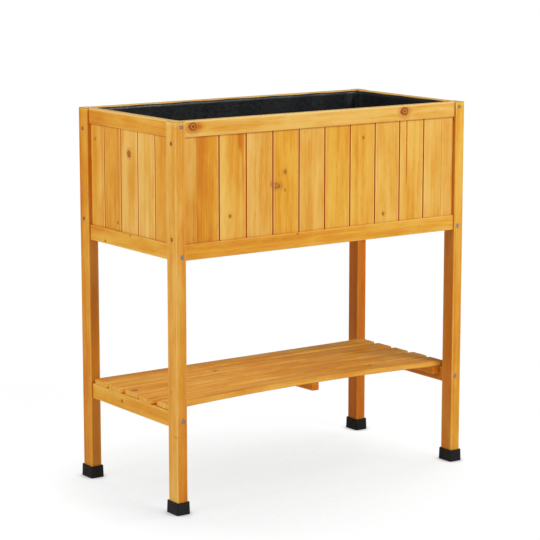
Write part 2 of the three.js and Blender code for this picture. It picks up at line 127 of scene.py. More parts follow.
def section(corners, spacing=8 * MM, near=(), near_y=()):
    """A closed outline from corners (x, y, radius, glaze). Each corner becomes an arc that touches both
    of its sides, and each side is cut at even steps. glaze is 1 where glaze has pooled, below 0 where it
    was wiped thin, and it fades out beside the corner. near lists places in x that need closer points,
    and near_y places in y. Returns the points and their glaze."""
    corners = np.array(corners, float)
    corner, radius, glaze = corners[:, :2], corners[:, 2], corners[:, 3]
    ahead = np.roll(corner, -1, axis=0) - corner
    side = np.linalg.norm(ahead, axis=1)
    ahead /= side[:, None]
    behind = -np.roll(ahead, 1, axis=0)
    points, tones = [], []
    for i in range(len(corners)):
        j = (i + 1) % len(corners)
        turn = np.linspace(0, 1, ARC_STEPS + 1 if radius[i] else 1)[:, None]
        start, end = corner[i] + behind[i] * radius[i], corner[i] + ahead[i] * radius[i]
        arc = (1 - turn) ** 2 * start + 2 * turn * (1 - turn) * corner[i] + turn ** 2 * end
        first, last = radius[i], side[i] - radius[j]
        edges = [first, first + SHADE_EDGE, last - SHADE_EDGE, last]
        cuts = np.linspace(first, last, max(2, int(math.ceil((last - first) / spacing)) + 1))[1:-1]
        if last - first > 3 * SHADE_EDGE:
            cuts = np.append(cuts, edges[1:3])
        for axis, wanted in enumerate((near, near_y)):
            if abs(ahead[i][axis]) > 0.9 and len(wanted):
                cuts = np.append(cuts, (np.asarray(wanted) - corner[i][axis]) * np.sign(ahead[i][axis]))
        cuts = np.unique(cuts.round(6))
        cuts = cuts[(cuts > first + 0.1 * MM) & (cuts < last - 0.1 * MM)]
        points += [arc, corner[i] + cuts[:, None] * ahead[i]]
        tones += [np.full(len(arc), glaze[i]), np.interp(cuts, edges, [glaze[i], 0, 0, glaze[j]])]
    return np.concatenate(points), np.concatenate(tones)


def lath_section(width, thickness, edge, near=(), glaze=-0.35, **more):
    """A planed rectangle about the middle, with the same radius on its four arrises."""
    w, t = width / 2, thickness / 2
    return section([(x, y, edge, glaze) for x, y in ((-w, -t), (w, -t), (w, t), (-w, t))], near=near, **more)


LEG_SIZE = 25 * MM, 36 * MM, 2 * MM  # along the front, front to back, and the radius of its arrises
print("a leg's section has", len(lath_section(*LEG_SIZE)[0]), "points")

# %% [markdown]
# Wood is a stack of yearly rings round the pith of the tree, cut through by the saw. If each point
# keeps its place in the tree, one solid pattern gives long streaks on the faces, arches where the
# saw ran out of a ring, and curved rings on the sawn ends, and they all meet at the arrises. That
# place is kept in an attribute called grain: along the tree, and two distances from the pith.
# A knot is where a branch left the trunk. The fibres part round it, so grain is pushed aside there,
# and a second attribute, knot, holds the place in the nearest branch.

# %% Timber
KNOT_REACH = np.array([-4, -3, -2.2, -1.6, -1.2, -0.8, -0.4, 0, 0.4, 0.8, 1.2, 1.6, 2.2, 3, 4])
SEED_STEP = 1.37  # metres along the tree from the pattern of one seed to the next
END_ROW = 2.5 * MM  # a row of points this far from each end keeps the tone of the end to itself


def ripple(seed, size, *places):
    """A smooth unevenness: a sum of five sine waves in the given places, at seeded angles."""
    dice = np.random.default_rng(seed)
    total = 0.0
    for _ in range(5):
        wave = sum(dice.uniform(-1, 1) * place for place in places)
        total = total + np.sin(2 * math.pi * wave + dice.uniform(0, 2 * math.pi))
    return size * total / 5


def near_knots(knots, skip=2):
    """Places across a piece where its knots need closer points. skip leaves out the outermost ones."""
    return np.concatenate([[], *(knot[1] + KNOT_REACH[skip:-skip] * knot[2] for knot in knots)])


def grain_field(along, across, through, knots, pith, drift, seed, knot_side=0):
    """Where each point lies in the tree, and where it lies in the nearest branch.
    Fibres near a knot are drawn towards its line by a bell curve that is long along the grain, so that
    the rings crowd at its flanks. A knot is (along, middle, radius, how much longer it is than wide). Its
    own place is counted in its radii, and fades to nothing 3 radii out. knot_side says which of the
    piece's two cross directions its middle is measured in."""
    pushed = [across.copy(), through.copy()]
    flank = (across, through)[knot_side]
    nearest = np.full(across.shape, 99.0)
    branch = np.zeros((*across.shape, 3))
    for place, middle, radius, *longer in knots:
        da, db = (along - place) / (longer[0] if longer else 1.15), flank - middle
        pushed[knot_side] -= 0.8 * db * np.exp(-(da / (2.8 * radius)) ** 2 - (db / (1.7 * radius)) ** 2)
        off = np.hypot(da, db) / radius
        here = np.stack([da / radius, db / radius, np.clip(6.2 - 2 * off, 0, 1)], axis=-1)
        branch = np.where((off < nearest)[..., None], here, branch)
        nearest = np.minimum(off, nearest)
    tree = np.stack([
        along + SEED_STEP * seed,
        pushed[0] - pith[0] - drift[0] * along + ripple(seed + 5, 0.6 * MM, along * 3),
        pushed[1] - pith[1] - drift[1] * along,
    ], axis=-1)
    return tree, branch


def loop_quads(rows, count):
    """Quads between rows of points, where each row is a closed loop of count points."""
    row, column = np.meshgrid(np.arange(rows - 1), np.arange(count), indexing="ij")
    low, high = row * count + column, row * count + (column + 1) % count
    return np.stack([low, high, high + count, low + count], axis=-1).reshape(-1, 4)


def weave_faces(rows, count):
    """The quads of a loop carried along in rows, and the two end faces on rings of their own."""
    start = rows * count + np.arange(count)
    return loop_quads(rows, count).tolist() + [start[::-1].tolist(), (start + count).tolist()]


def place_in_scene(name, data):
    """A new object of this name in the scene, from a mesh, lamp or camera."""
    thing = bpy.data.objects.new(name, data)
    bpy.context.scene.collection.objects.link(thing)
    return thing


def new_piece(name, points, faces, material, nodes=(), sharp=32):
    """A mesh object at the origin that rides on the planter, wears a material and stands for CAD nodes."""
    mesh = bpy.data.meshes.new(name)
    mesh.from_pydata(np.asarray(points).reshape(-1, 3).tolist(), [], faces)
    mesh.shade_smooth()
    mesh.set_sharp_from_angle(angle=math.radians(sharp))
    mesh.materials.append(material)
    piece = place_in_scene(name, mesh)
    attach(piece, "root")
    if nodes:
        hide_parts(*nodes)
    return piece


def keep(piece, **fields):
    """Keeps one or three numbers for each point of a piece, under names that a material can read."""
    for name, values in fields.items():
        kind, key = ("FLOAT_VECTOR", "vector") if values.ndim > 1 else ("FLOAT", "value")
        field = piece.data.attributes.new(name, kind, "POINT")
        field.data.foreach_set(key, values.astype(np.float32).ravel())


def timber(name, outline, length, origin, across, through, material, slot, nodes=None, tint=0.0, gold=0.5,
           pith=(0.0, -0.05), drift=(0.0, 0.0), knots=(), knot_side=0, seed=1, spacing=14 * MM, ease=0.6 * MM,
           end_glaze=0.5, lift=None, worn=None, marks=None, stains=None):
    """A piece of timber: its outline (points, glaze) carried along the third direction, across x through.
    ease draws the first and last ring in, as sandpaper does. worn(along, x, y) moves points along the
    piece, lift(along, x) moves them through it, marks(along, x, y) adds to the glaze and
    stains(along, x, y) to the tint. Each end face has a ring of its own, with a glaze of its own,
    because end grain drinks more of it."""
    points, glaze = outline
    lengthways = np.cross(across, through)
    step = np.roll(points, -1, axis=0) - np.roll(points, 1, axis=0)
    outwards = np.stack([step[:, 1], -step[:, 0]], axis=-1) / np.linalg.norm(step, axis=1)[:, None]
    cuts = [np.linspace(0, length, int(math.ceil(length / spacing)) + 1),
            [ease, END_ROW, length - END_ROW, length - ease],
            *(knot[0] + KNOT_REACH * knot[2] for knot in knots)]
    places = np.unique(np.concatenate(cuts).round(5))
    places = places[(places >= 0) & (places <= length)]
    drawn_in = np.interp(places, [0, ease, length - ease, length], [ease, 0, 0, ease])
    ring = points[None] - drawn_in[:, None, None] * outwards[None]
    ring = np.concatenate([ring, ring[:1], ring[-1:]])
    along = np.repeat(np.append(places, [0, length]), len(points)).reshape(len(ring), -1)
    x, y = ring[..., 0], ring[..., 1]
    tree, branch = grain_field(along, x, y, knots, pith, drift, seed, knot_side)
    tone = np.stack([np.full(x.shape, tint), np.tile(glaze, (len(ring), 1)), np.full(x.shape, gold)], axis=-1)
    if marks:
        tone[..., 1] += marks(along, x, y)
    if stains:
        tone[..., 0] += stains(along, x, y)
    tone[-2:, :, 1] += end_glaze
    moved = along + (worn(along, x, y) if worn else 0)
    flat = ripple(seed, 0.07 * MM, along * 9, x * 20, y * 20)
    x, y = x + flat * outwards[None, :, 0], y + flat * outwards[None, :, 1]
    y = y + (lift(along, x) if lift else 0)
    place = np.asarray(origin) + moved[..., None] * lengthways
    place = place + x[..., None] * across + y[..., None] * through
    faces = weave_faces(len(places), len(points))
    piece = new_piece(name, place, faces, material, [name] if nodes is None else nodes)
    keep(piece, grain=tree, knot=branch, tone=tone)


def look(tint, gold=0.5, pith=(0.0, -0.05), drift=(0.0, 0.0), *knots, **more):
    """The looks of one piece of timber. Its knots are written in mm, and are turned into metres here."""
    knots = [(*(value * MM for value in knot[:3]), *knot[3:]) for knot in knots]
    return dict(tint=tint, gold=gold, pith=pith, drift=drift, knots=knots, **more)


def tones_along(*stops):
    """A tone that runs from stop to stop along a piece. Each stop is a place and the tone there."""
    places, tones = zip(*stops)
    return lambda along, x, y: np.interp(along, places, tones)


print("knots get", len(KNOT_REACH), "close rows each")

# %% [markdown]
# The planter is fir that was planed and dipped in a thin honey-coloured glaze. The glaze is clear
# enough to show the wood, and it drinks in unevenly: long bands and streaks from cream to orange lie
# over the yearly rings, with small flecks between them, and it pools red-brown in the V of each joint
# and is wiped thin on the arrises. The pale colour of thin glaze also serves as painted highlight, on
# the arrises, along the rim and beside the joints, and the pooled colour as painted shade under the
# trough and round the screws. Rings in fast-grown fir are 4 to 7 mm apart, and the finest fibres
# are drawn about 2 mm wide, because real ones are too fine to show in the render.

# %% Glazed fir
RING_SPACING = 5.6 * MM


def fir(name, tones, pooled, wiped, knot_rim, knot_heart, roughness, contrast=0.8):
    """Fir boards. One number, dark, picks the tone from a row of colours, pale to deep. It adds up the
    rings, which come from the distance to the pith, with a sharp dark end to each year, and noises
    stretched along the grain: bands, streaks, clouds, fibres and flecks. The knot is a disc of its own
    rings with a dark rim. gold is how much of a yellow filter lies over the wood, and where glaze has
    pooled or was wiped thin, its colour covers the rest. The pooled colour also stands for painted
    shade, and the wiped colour for painted highlight, where a piece sets its glaze for that."""
    material, node, shader = new_material(name)
    grain, tone, branch = (node("Attribute", out="Vector", attribute_name=field)
                           for field in ("grain", "tone", "knot"))
    tint, pool, gold = node("SeparateXYZ", [tone]).node.outputs
    present = node("SeparateXYZ", [branch], "Z")

    def stretched(along, across, detail=2.0):
        """A noise with so many waves in a metre along the grain and across it, from 0 to 1."""
        place = node("Mapping", {"Vector": grain, "Scale": (along, across, across)})
        return node("TexNoise", {"Vector": place, "Scale": 1.0, "Detail": detail, "Roughness": 0.55})

    cross_cut = node("VectorMath", [grain, (0, 1, 1)], operation="MULTIPLY")
    from_pith = node("VectorMath", [cross_cut], "Value", operation="LENGTH")
    bend = node("Math", [stretched(3.0, 22.0), 11 * MM, from_pith], operation="MULTIPLY_ADD")
    years = node("Math", [bend, 1 / RING_SPACING], operation="MULTIPLY")
    season = node("Math", [years], operation="FRACT")
    summer = node("Math", [season, 2.2], operation="POWER")
    fall = node("MapRange", [season, 0.86, 1.0, 1.0, 0.0], **SOFT)
    year_end = node("Math", [summer, fall], operation="MULTIPLY")
    strength = node("MapRange", [stretched(1.4, 45.0, 1.0), 0.35, 0.72, 0.1, 1.0], **SOFT)
    ring = node("Math", [year_end, strength], operation="MULTIPLY")
    band = node("MapRange", [stretched(1.6, 26.0, 2.0), 0.3, 0.7, -0.5, 0.5], **SOFT)
    streak = node("MapRange", [stretched(3.2, 88.0, 3.0), 0.34, 0.7, -0.5, 0.5], **SOFT)
    cloud = node("MapRange", [stretched(11.0, 34.0, 3.0), 0.28, 0.72, -0.5, 0.5], **SOFT)
    fibre = stretched(20.0, 480.0, 1.0)
    fleck = node("MapRange", [stretched(55.0, 300.0, 0.0), 0.62, 0.82], **SOFT)
    dark = 0.40
    weights = (ring, 0.18), (band, 0.16), (streak, 0.2), (cloud, 0.2), (fibre, 0.22), (fleck, 0.09)
    for part, weight in weights:
        dark = node("Math", [part, weight * contrast, dark], operation="MULTIPLY_ADD")
    dark = node("Math", [dark, 0.1 * contrast], operation="SUBTRACT")
    dark = node("Math", [tint, -0.22, dark], operation="MULTIPLY_ADD")
    ramp = node("ValToRGB", [dark])
    stops = ramp.node.color_ramp.elements
    for place, code in tones[1:-1]:
        stops.new(place)
    for stop, (place, code) in zip(stops, tones):
        stop.position, stop.color = place, colour(code)
    wood = node("Mix", {0: gold, 6: ramp, 7: "FFF6B8"}, blend_type="MULTIPLY", **COLOURS)

    branch_cut = node("VectorMath", [branch, (1, 1, 0)], operation="MULTIPLY")
    from_heart = node("VectorMath", [branch_cut], "Value", operation="LENGTH")
    rough = node("Math", [stretched(160.0, 160.0), 0.5], operation="SUBTRACT")
    uneven = node("Math", [rough, 0.9, from_heart], operation="MULTIPLY_ADD")
    halo, disc = (node("Math", [node("MapRange", [uneven, *ends], **SOFT), present], operation="MULTIPLY")
                  for ends in ((1.0, 2.5, 0.5, 0.0), (0.9, 1.12, 1.0, 0.0)))
    branch_years = node("Math", [uneven, 2.1], operation="MULTIPLY")
    branch_ring = node("Math", [branch_years, 1.0], operation="PINGPONG")
    paler = node("MapRange", [branch_ring, 0.2, 0.95], **SOFT)
    heart = node("Mix", {0: paler, 6: knot_rim, 7: knot_heart}, **COLOURS)
    # The pooled colour also paints shade, and the wiped colour also paints highlight, where a piece's glaze
    # asks for it.
    pooled_glaze_and_shade = node("MapRange", [pool], **SOFT)
    thin_glaze_and_highlight = node("MapRange", [node("Math", [pool, -1.0], operation="MULTIPLY")], **SOFT)
    for amount, over in (halo, tones[-1][1]), (disc, heart), (pooled_glaze_and_shade, pooled), (thin_glaze_and_highlight, wiped):
        wood = node("Mix", {0: amount, 6: wood, 7: over}, **COLOURS)
    relief = node("Math", [ring, -0.6, fibre], operation="MULTIPLY_ADD")
    relief = node("Math", [disc, 0.8, relief], operation="MULTIPLY_ADD")
    feed(shader, {
        "Base Color": wood,
        "Specular IOR Level": 0.2,
        "Roughness": node("Math", [dark, 0.1, roughness - 0.04], operation="MULTIPLY_ADD"),
        "Normal": node("Bump", {"Height": relief, "Strength": 0.35, "Distance": 0.12 * MM}),
    })
    return material


HONEY = [(0.0, "F4CE84"), (0.28, "EBBA60"), (0.5, "E19F3A"), (0.75, "D37F1E"), (1.0, "BA5E10")]
SHELF_HONEY = [(0.0, "F4C878"), (0.28, "ECB456"), (0.5, "E19C38"), (0.75, "D0801E"), (1.0, "B06010")]
BARE = [(0.0, "EBCFA2"), (0.3, "E0BE8C"), (0.55, "D0A26A"), (0.8, "B9844B"), (1.0, "9F6C38")]
glazed_fir = fir("fir_planed_honey_glaze", HONEY, roughness=0.44,
                 pooled="BE4600", wiped="FBD588", knot_rim="8A4206", knot_heart="C67A2A")
shelf_fir = fir("fir_planed_honey_glaze_shelf", SHELF_HONEY, roughness=0.48, contrast=1.1,
                pooled="CC6C10", wiped="F2C470", knot_rim="84481A", knot_heart="BE7A34")
bare_fir = fir("fir_planed_bare", BARE, roughness=0.72,
               pooled="9A6A3A", wiped="E9CFA6", knot_rim="5E3A1E", knot_heart="8A5A33")
print("woods:", glazed_fir.name, shelf_fir.name, bare_fir.name)

# %% [markdown]
# The four legs are straight laths, flush with the rim and eased along their arrises. They could keep
# the imported solid, but the light runs along a rounded arris, so they are carried as fine sections.
# Glaze gathers in a thin ring round each screw, which also stands for the shade in the countersink.
# The faces that look under the trough carry painted shade, and the arrises are paler, partly thin
# glaze and partly painted highlight.

# %% Legs
LEG_SCREWS = [(0, 15.0, 828.5), (0, 15.0, 556.5), (0, 15.0, 202.7), (1, 16.5, 794.0), (1, 16.5, 593.0)]
HEAD_RADIUS = 3.9  # mm
LEG_SIDE, LEG_FACE = 12.2 * MM, 17.6 * MM  # beyond these from its middle, a point lies on a face of the leg
TONE_HEIGHTS = [0.1, 0.35, 0.7]
SHADE_BELOW_WALL, PALE_TOP = [0.53, 0.57], [0.825, 0.834]  # heights over which these tones come in
screw_places = []


def leg_screws(low, high, corner):
    """Places and directions of one leg's screws. Each is given by whether it is in a side face, and in mm
    how far it is from the outer arris and how high."""
    outer = np.where(corner < 0, low, high) * [1, 1, 0]
    found = []
    for on_side, inwards, height in LEG_SCREWS:
        facing, beside = (X, Y) if on_side else (Y, X)
        found.append((outer + height * MM * Z - inwards * MM * beside * corner, facing * corner))
    return found


def leg(name, inner, face=(0, 0, 0), side=(0, 0, 0), **looks):
    """One leg. The faces that look under the trough carry painted shade: the tone inner, deepest beside the
    wall, and half a coat of pooled glaze. The outer face and side have tones at three heights, and the top
    edge is paler. Glaze lies in a ring round each screw: a narrow bell curve over the distance from the
    head's edge, which also paints the shade of the countersink gap."""
    low, high = box_of(name)
    middle = (low + high)[:2] / 2
    corner = np.sign(low + high) * [1, 1, 0]
    screws = leg_screws(low, high, corner)
    screw_places.extend(screws)

    def inside(x, y):
        """Whether a point lies on one of the two faces that look under the trough, where shade is painted."""
        return (x * corner[0] < -LEG_SIDE) | (y * corner[1] < -LEG_FACE)

    def stains(along, x, y):
        """The tone of the face that a point lies on, read off between its heights, and of the paler top.
        On the faces under the trough this tone is painted shade.
        """
        tone = np.where(inside(x, y), inner - 0.8 * np.interp(along, SHADE_BELOW_WALL, [0, 1]), 0.0)
        tone = tone + np.where(y * corner[1] > LEG_FACE, np.interp(along, TONE_HEIGHTS, face), 0.0)
        tone = tone + np.where(x * corner[0] > LEG_SIDE, np.interp(along, TONE_HEIGHTS, side), 0.0)
        return tone + 0.9 * np.interp(along, PALE_TOP, [0, 1])

    def marks(along, x, y):
        """The sum of the glaze rings on this face, which also paint the shade round each head, and half a
        coat of glaze more on the inner faces, as painted shade.
        """
        rings = np.zeros_like(along)
        for place, normal in screws:
            local = place - np.array([*middle, low[2]])
            facing = x * normal[0] + y * normal[1] > 0.9 * abs(local @ normal)
            beside = y - local[1] if normal[0] else x - local[0]
            rings += facing * 0.7 * bell(np.hypot(along - local[2], beside), HEAD_RADIUS, 1.1)
        return rings + 0.5 * inside(x, y)

    near = [place[0] - middle[0] + offset * MM for place, _ in screws for offset in (-5, -4, -3, 0, 3, 4, 5)]
    round_knots = near_knots(looks["knots"], 3)
    if looks.get("knot_side"):
        outline = lath_section(*LEG_SIZE, near, -0.3, spacing=3 * MM, near_y=round_knots)
    else:
        outline = lath_section(*LEG_SIZE, [*near, *round_knots], -0.3, spacing=3 * MM)
    timber(name, outline, high[2] - low[2], [*middle, low[2]], X, Y, glazed_fir, "frame_wood", spacing=6 * MM,
           end_glaze=-0.9, marks=marks, stains=stains, **looks)


# inner is the tone of the painted shade on the faces that look under the trough.
LEGS = {
    "front_left": look(-0.26, 0.3, (0.055, 0.012), (0.004, 0.0), (262.7, 3.5, 1, 2.2),
                       (166.5, -12, 3.4, 0.22), seed=3, knot_side=1, inner=-0.1,
                       face=[-1.15, -0.45, -0.05], side=[0.25, 0.0, 0.0]),
    "front_right": look(-0.15, 0.9, (-0.06, 0.03), (0.0, 0.006), seed=8, inner=0.4, face=[-0.4, 0.0, 0.45]),
    "back_left": look(-0.82, 1.0, (0.05, 0.02), (0.003, 0.003), seed=12, inner=1.4, side=[0.0, -0.1, 0.0]),
    "back_right": look(-0.5, 1.0, (-0.05, -0.03), (0.0, 0.004), (470, 4, 3), seed=17, inner=0.0),
}
for name, looks in LEGS.items():
    leg(f"leg_{name}", **looks)
print("legs:", len(LEGS), "with", len(screw_places), "screws to come")

# %% [markdown]
# Each wall has a bottom and a top rail with a groove ploughed along it, and the boards stand in the
# grooves. Everything on a wall is placed in the wall's own directions: right as seen from outside,
# inwards, and up. A rail's section is drawn downwards from its upper edge, so that its three
# directions still make a right-handed set and its faces point outwards.

# %% Walls and rails
RAIL_HEIGHT, RAIL_THICK, RAIL_EDGE = 34 * MM, 20 * MM, 2 * MM
GROOVE_DEPTH, GROOVE_FRONT, GROOVE_BACK = 8 * MM, 4.7 * MM, 14.3 * MM
BOARD_FACE, BOARD_BACK = 5 * MM, 14 * MM
FIT = 0.3 * MM
HOUSED = GROOVE_DEPTH - FIT  # how far a board goes into a groove
WALLS = {}
for side, right, inwards in (("front", X, Y), ("back", -X, -Y), ("left", -Y, X), ("right", Y, -X)):
    low, high = box_of(f"{side}_top_rail")
    wall = WALLS[side] = SimpleNamespace(right=right, inwards=inwards, rim=high[2])
    wall.span = abs((high - low) @ right) + 2 * FIT
    wall.start = np.where(right + inwards > 0, low, high) * [1, 1, 0] - FIT * right
    wall.bottom = box_of(f"{side}_bottom_rail")[0][2]
    wall.foot = wall.bottom + RAIL_HEIGHT - HOUSED
    wall.board_length = wall.rim - RAIL_HEIGHT + HOUSED - wall.foot
    print(side, "wall:", round(float(wall.span), 4), "m between the legs")


def rail_outline(groove_up, near=()):
    """A rail's section, x down from its upper edge and y inwards from its face, grooved above or below."""
    floor = GROOVE_DEPTH if groove_up else RAIL_HEIGHT - GROOVE_DEPTH
    mouth = 0.0 if groove_up else RAIL_HEIGHT
    far = RAIL_HEIGHT - mouth
    # On a top rail the upper outer arris is -0.6: a painted highlight along the rim.
    corners = [(mouth, 0, RAIL_EDGE, -0.2), (mouth, GROOVE_FRONT, 0, 1.0), (floor, GROOVE_FRONT, 0, 1.0),
               (floor, GROOVE_BACK, 0, 1.0), (mouth, GROOVE_BACK, 0, 1.0),
               (mouth, RAIL_THICK, RAIL_EDGE, 0.0), (far, RAIL_THICK, RAIL_EDGE, -0.2),
               (far, 0, RAIL_EDGE, -0.3 if groove_up else -0.6)]
    return section(corners[::-1] if groove_up else corners, spacing=4 * MM, near=near)


def rim_highlight(along, x, y):
    """The upward face of the rim is painted pale: a painted highlight where the light falls on it."""
    return np.where(x < 0.3 * MM, -0.5, 0.0)


def patches(along, x, y):
    """A patch of deeper glaze to the right of the first knot, and a pale one further along."""
    return 0.7 * bell(along, 262, 14) * bell(x, 10, 9) - 1.5 * bell(along, 38, 9) * bell(x, 13, 6)


# The knots of a rail are (from the left end, down from the upper edge, radius).
RAILS = {
    ("front", "top"): look(0.28, 0.2, (0.017, -0.035), (0.0, 0.006), (21.5, 12, 8.5), (583.5, 12.5, 9),
                           stains=patches),
    ("front", "bottom"): look(0.05, 0.9, (0.04, -0.02), (0.0, -0.008), (290.5, 3, 1.6),
                              stains=tones_along((0.05, -0.8), (0.15, -0.35), (0.35, -0.05), (0.6, 0.25))),
    ("left", "top"): look(-0.25, 0.7, (0.01, -0.03), (0.0, 0.02),
                          stains=tones_along((0.04, -0.85), (0.14, -0.1), (0.22, 0.0), (0.3, -0.15))),
    ("left", "bottom"): look(0.12, 0.9, (0.03, -0.03), (0.0, -0.02), (63.5, 28.5, 2.2), (168.5, 2.5, 1.8),
                             stains=tones_along((0.04, -0.4), (0.14, 0.0))),
    ("back", "top"): look(0.1, 0.5, (0.0, -0.05), (0.0, 0.01), (310, 20, 6)),
    ("back", "bottom"): look(0.0, 0.5, (0.03, -0.03), (0.0, 0.005)),
    ("right", "top"): look(0.1, 0.5, (0.03, -0.04), (0.0, 0.01)),
    ("right", "bottom"): look(0.05, 0.5, (0.01, -0.03), (0.0, -0.015), (210, 14, 4)),
}
for seed, ((side, which), looks) in enumerate(RAILS.items(), 21):
    wall, lower = WALLS[side], which == "bottom"
    upper_edge = wall.bottom + RAIL_HEIGHT if lower else wall.rim
    timber(f"{side}_{which}_rail", rail_outline(lower, near_knots(looks["knots"])), wall.span - 2 * FIT,
           wall.start + FIT * wall.right + upper_edge * Z, -Z, wall.inwards, glazed_fir, "frame_wood",
           seed=seed, end_glaze=0.2, marks=None if lower else rim_highlight, **looks)
print("rails:", len(RAILS), "each", RAIL_HEIGHT, "by", RAIL_THICK, "m")

# %% [markdown]
# The wall boards are tongued and grooved, so the wall can swell and shrink without opening. Both
# edges of a joint are bevelled, and the two bevels make the V that draws the wall's upright lines.
# The glaze pools in the V and turns it dark, and a pale strip on the arris beside each V is a painted
# highlight. Each board comes from another tree, so each has a tint, a place of its pith and a seed of
# its own. The boards of the back and right walls, which are one solid each in the imported model, are
# made one by one here too.

# %% Wall boards
BOARD_PITCH, NARROWEST_BOARD = 69.3 * MM, 20 * MM
TONGUE, TONGUE_LENGTH, JOINT_V = 1.5 * MM, 4 * MM, 2.2 * MM
STILE_WIDTH = 34 * MM


def joints_between(start, end, first):
    """Joints of a run of boards: its start, the end of the sawn first board, whole boards, and its end."""
    whole = int((end - start - first - NARROWEST_BOARD) // BOARD_PITCH)
    return [start, *(start + first + BOARD_PITCH * np.arange(whole + 1)).tolist(), end]


def board_outline(start, end, grooved, tongued, near=()):
    """Plan of a board: plain or grooved on its left edge, plain or tongued on its right, with V bevels."""
    left, right = start + (FIT / 2 if grooved else 0), end - (FIT / 2 if tongued else FIT)
    middle = (BOARD_FACE + BOARD_BACK) / 2
    slot, v_foot = TONGUE + FIT, BOARD_FACE + JOINT_V
    inner, outer = 0.55 * JOINT_V, BOARD_FACE + 0.45 * JOINT_V  # where the pooled glaze of the V begins
    # The arris where each V bevel meets the face is -0.6 or -0.5: a painted highlight strip beside the joint.
    right_edge = [(right, BOARD_FACE, 0, 0.35), (right, BOARD_BACK, 0, 0.3)]
    if tongued:
        tip = right + TONGUE_LENGTH
        right_edge = [(right - JOINT_V, BOARD_FACE, 0.4 * MM, -0.6), (right - inner, outer, 0, 1.0),
                      (right, v_foot, 0, 1.0), (right, middle - TONGUE, 0, 1.0),
                      (tip, middle - TONGUE, 0, 0.6), (tip, middle + TONGUE, 0, 0.6),
                      (right, middle + TONGUE, 0, 0.6), (right, BOARD_BACK, 0, 0.3)]
    left_edge = [(left, BOARD_BACK, 0, 0.3), (left, BOARD_FACE, 0, 0.35)]
    if grooved:
        deep = left + TONGUE_LENGTH + FIT
        left_edge = [(left, BOARD_BACK, 0, 0.3), (left, middle + slot, 0, 0.6), (deep, middle + slot, 0, 0.6),
                     (deep, middle - slot, 0, 0.6), (left, middle - slot, 0, 1.0), (left, v_foot, 0, 1.0),
                     (left + inner, outer, 0, 0.9), (left + JOINT_V, BOARD_FACE, 0.4 * MM, -0.5)]
    return section(right_edge + left_edge, spacing=5 * MM, near=near)


def groove_glaze_and_painted_light(length, extra=None):
    """Glaze pools where a board enters the lower groove, and below the top rail a pale band of painted light
    lightens the rail's shadow. extra adds to it.
    """
    def marks(along, x, y):
        """A bell curve over the distance along the board at each groove: glaze added below, painted light
        above.
        """
        glaze = 0.15 * bell(along, HOUSED / MM, 2.2) - 0.5 * bell(along, (length - HOUSED) / MM, 2.5)
        return glaze + (extra(along, x, y) if extra else 0)
    return marks


def board(side, name, start, end, grooved, tongued, nodes, knots, extra=None, near=(), **looks):
    """One wall board, standing in the grooves. A knot is (height, place from the leg on its left, radius)."""
    wall = WALLS[side]
    local = [(height - wall.foot, *rest) for height, *rest in knots]
    outline = board_outline(start, end, grooved, tongued, [*near, *near_knots(local, 1)])
    timber(name, outline, wall.board_length, wall.start + wall.foot * Z, wall.right, wall.inwards, glazed_fir,
           "board_wood", nodes, knots=local, spacing=12 * MM, ease=0.3 * MM,
           marks=groove_glaze_and_painted_light(wall.board_length, extra), **looks)


def shake(along, x, y):
    """A shake, a hairline split along the grain, which runs down from the top rail and fades out."""
    return bell(x, 595.3, 1.2) * np.interp(along, [0.06, 0.12, 0.2323], [0.0, 1.0, 1.5])


def deep_to_pale(along, x, y):
    """A board sawn through a deep-toned heart: its left part is deep and its right part pale."""
    return np.interp(x, [0.040, 0.060, 0.066, 0.088], [-0.35, -0.25, 0.15, 0.7])


def pale_heart(along, x, y):
    """The heart of the eye knot drank little glaze."""
    return -0.24 * bell(along + WALLS["front"].foot, 686.7, 6) * bell(x, 237, 10)


def flame(along, x, y):
    """A tongue of darker glaze that hangs from the top rail near a board's right edge and thins out below."""
    left = np.interp(along, [0.0, 0.13, 0.19, 0.215, 0.25], [149, 148, 146, 137, 136]) * MM
    depth = np.interp(along, [0.0, 0.10, 0.17, 0.21], [0.0, 0.5, 1.0, 1.5])
    pale = np.interp(x, [0.092, 0.108, 0.116], [0.8, 0.5, 0.0])
    within = np.clip((x - left) / (1.5 * MM), 0, 1) * np.clip((153.5 * MM - x) / (1.5 * MM), 0, 1)
    return pale - depth * within


FRONT_BOARDS = [
    look(-0.7, 0.9, (0.115, 0.01), (0.02, 0.0), stains=deep_to_pale),
    look(0.05, 0.6, (0.172, -0.016), (0.05, 0.02), (631, 117.3, 2.6), stains=flame,
         near=[x * MM for x in (134.5, 136, 137.5, 145, 147, 148.5, 150, 152, 153.5)]),
    look(0.14, 0.1, (0.30, 0.02), (0.01, 0.0), (689.7, 227.5, 3.4, 1.7)),
    look(0.05, 1.3, (0.262, -0.03), (-0.03, 0.01), (715.1, 260.7, 3), (686.7, 236, 10.5, 0.5),
         (675.1, 260.7, 1.6), extra=pale_heart),
    look(0.15, 0.3, (0.36, 0.03), (0.01, 0.01)),
    look(0.16, 0.9, (0.44, -0.02), (0.02, 0.03)),
    look(0.32, 0.8, (0.40, 0.02), (0.0, 0.0), (775, 472.7, 2.2)),
    look(0.28, 0.5, (0.565, -0.022), (-0.03, -0.02), (600.9, 529.5, 2.6)),
    look(0.4, 0.6, (0.66, 0.02), (0.01, 0.0), extra=shake,
         near=[(595.3 + offset) * MM for offset in (-2, -1, -0.5, 0, 0.5, 1, 2)]),
    look(0.36, 0.3, (0.75, -0.03), (0.0, 0.01)),
]
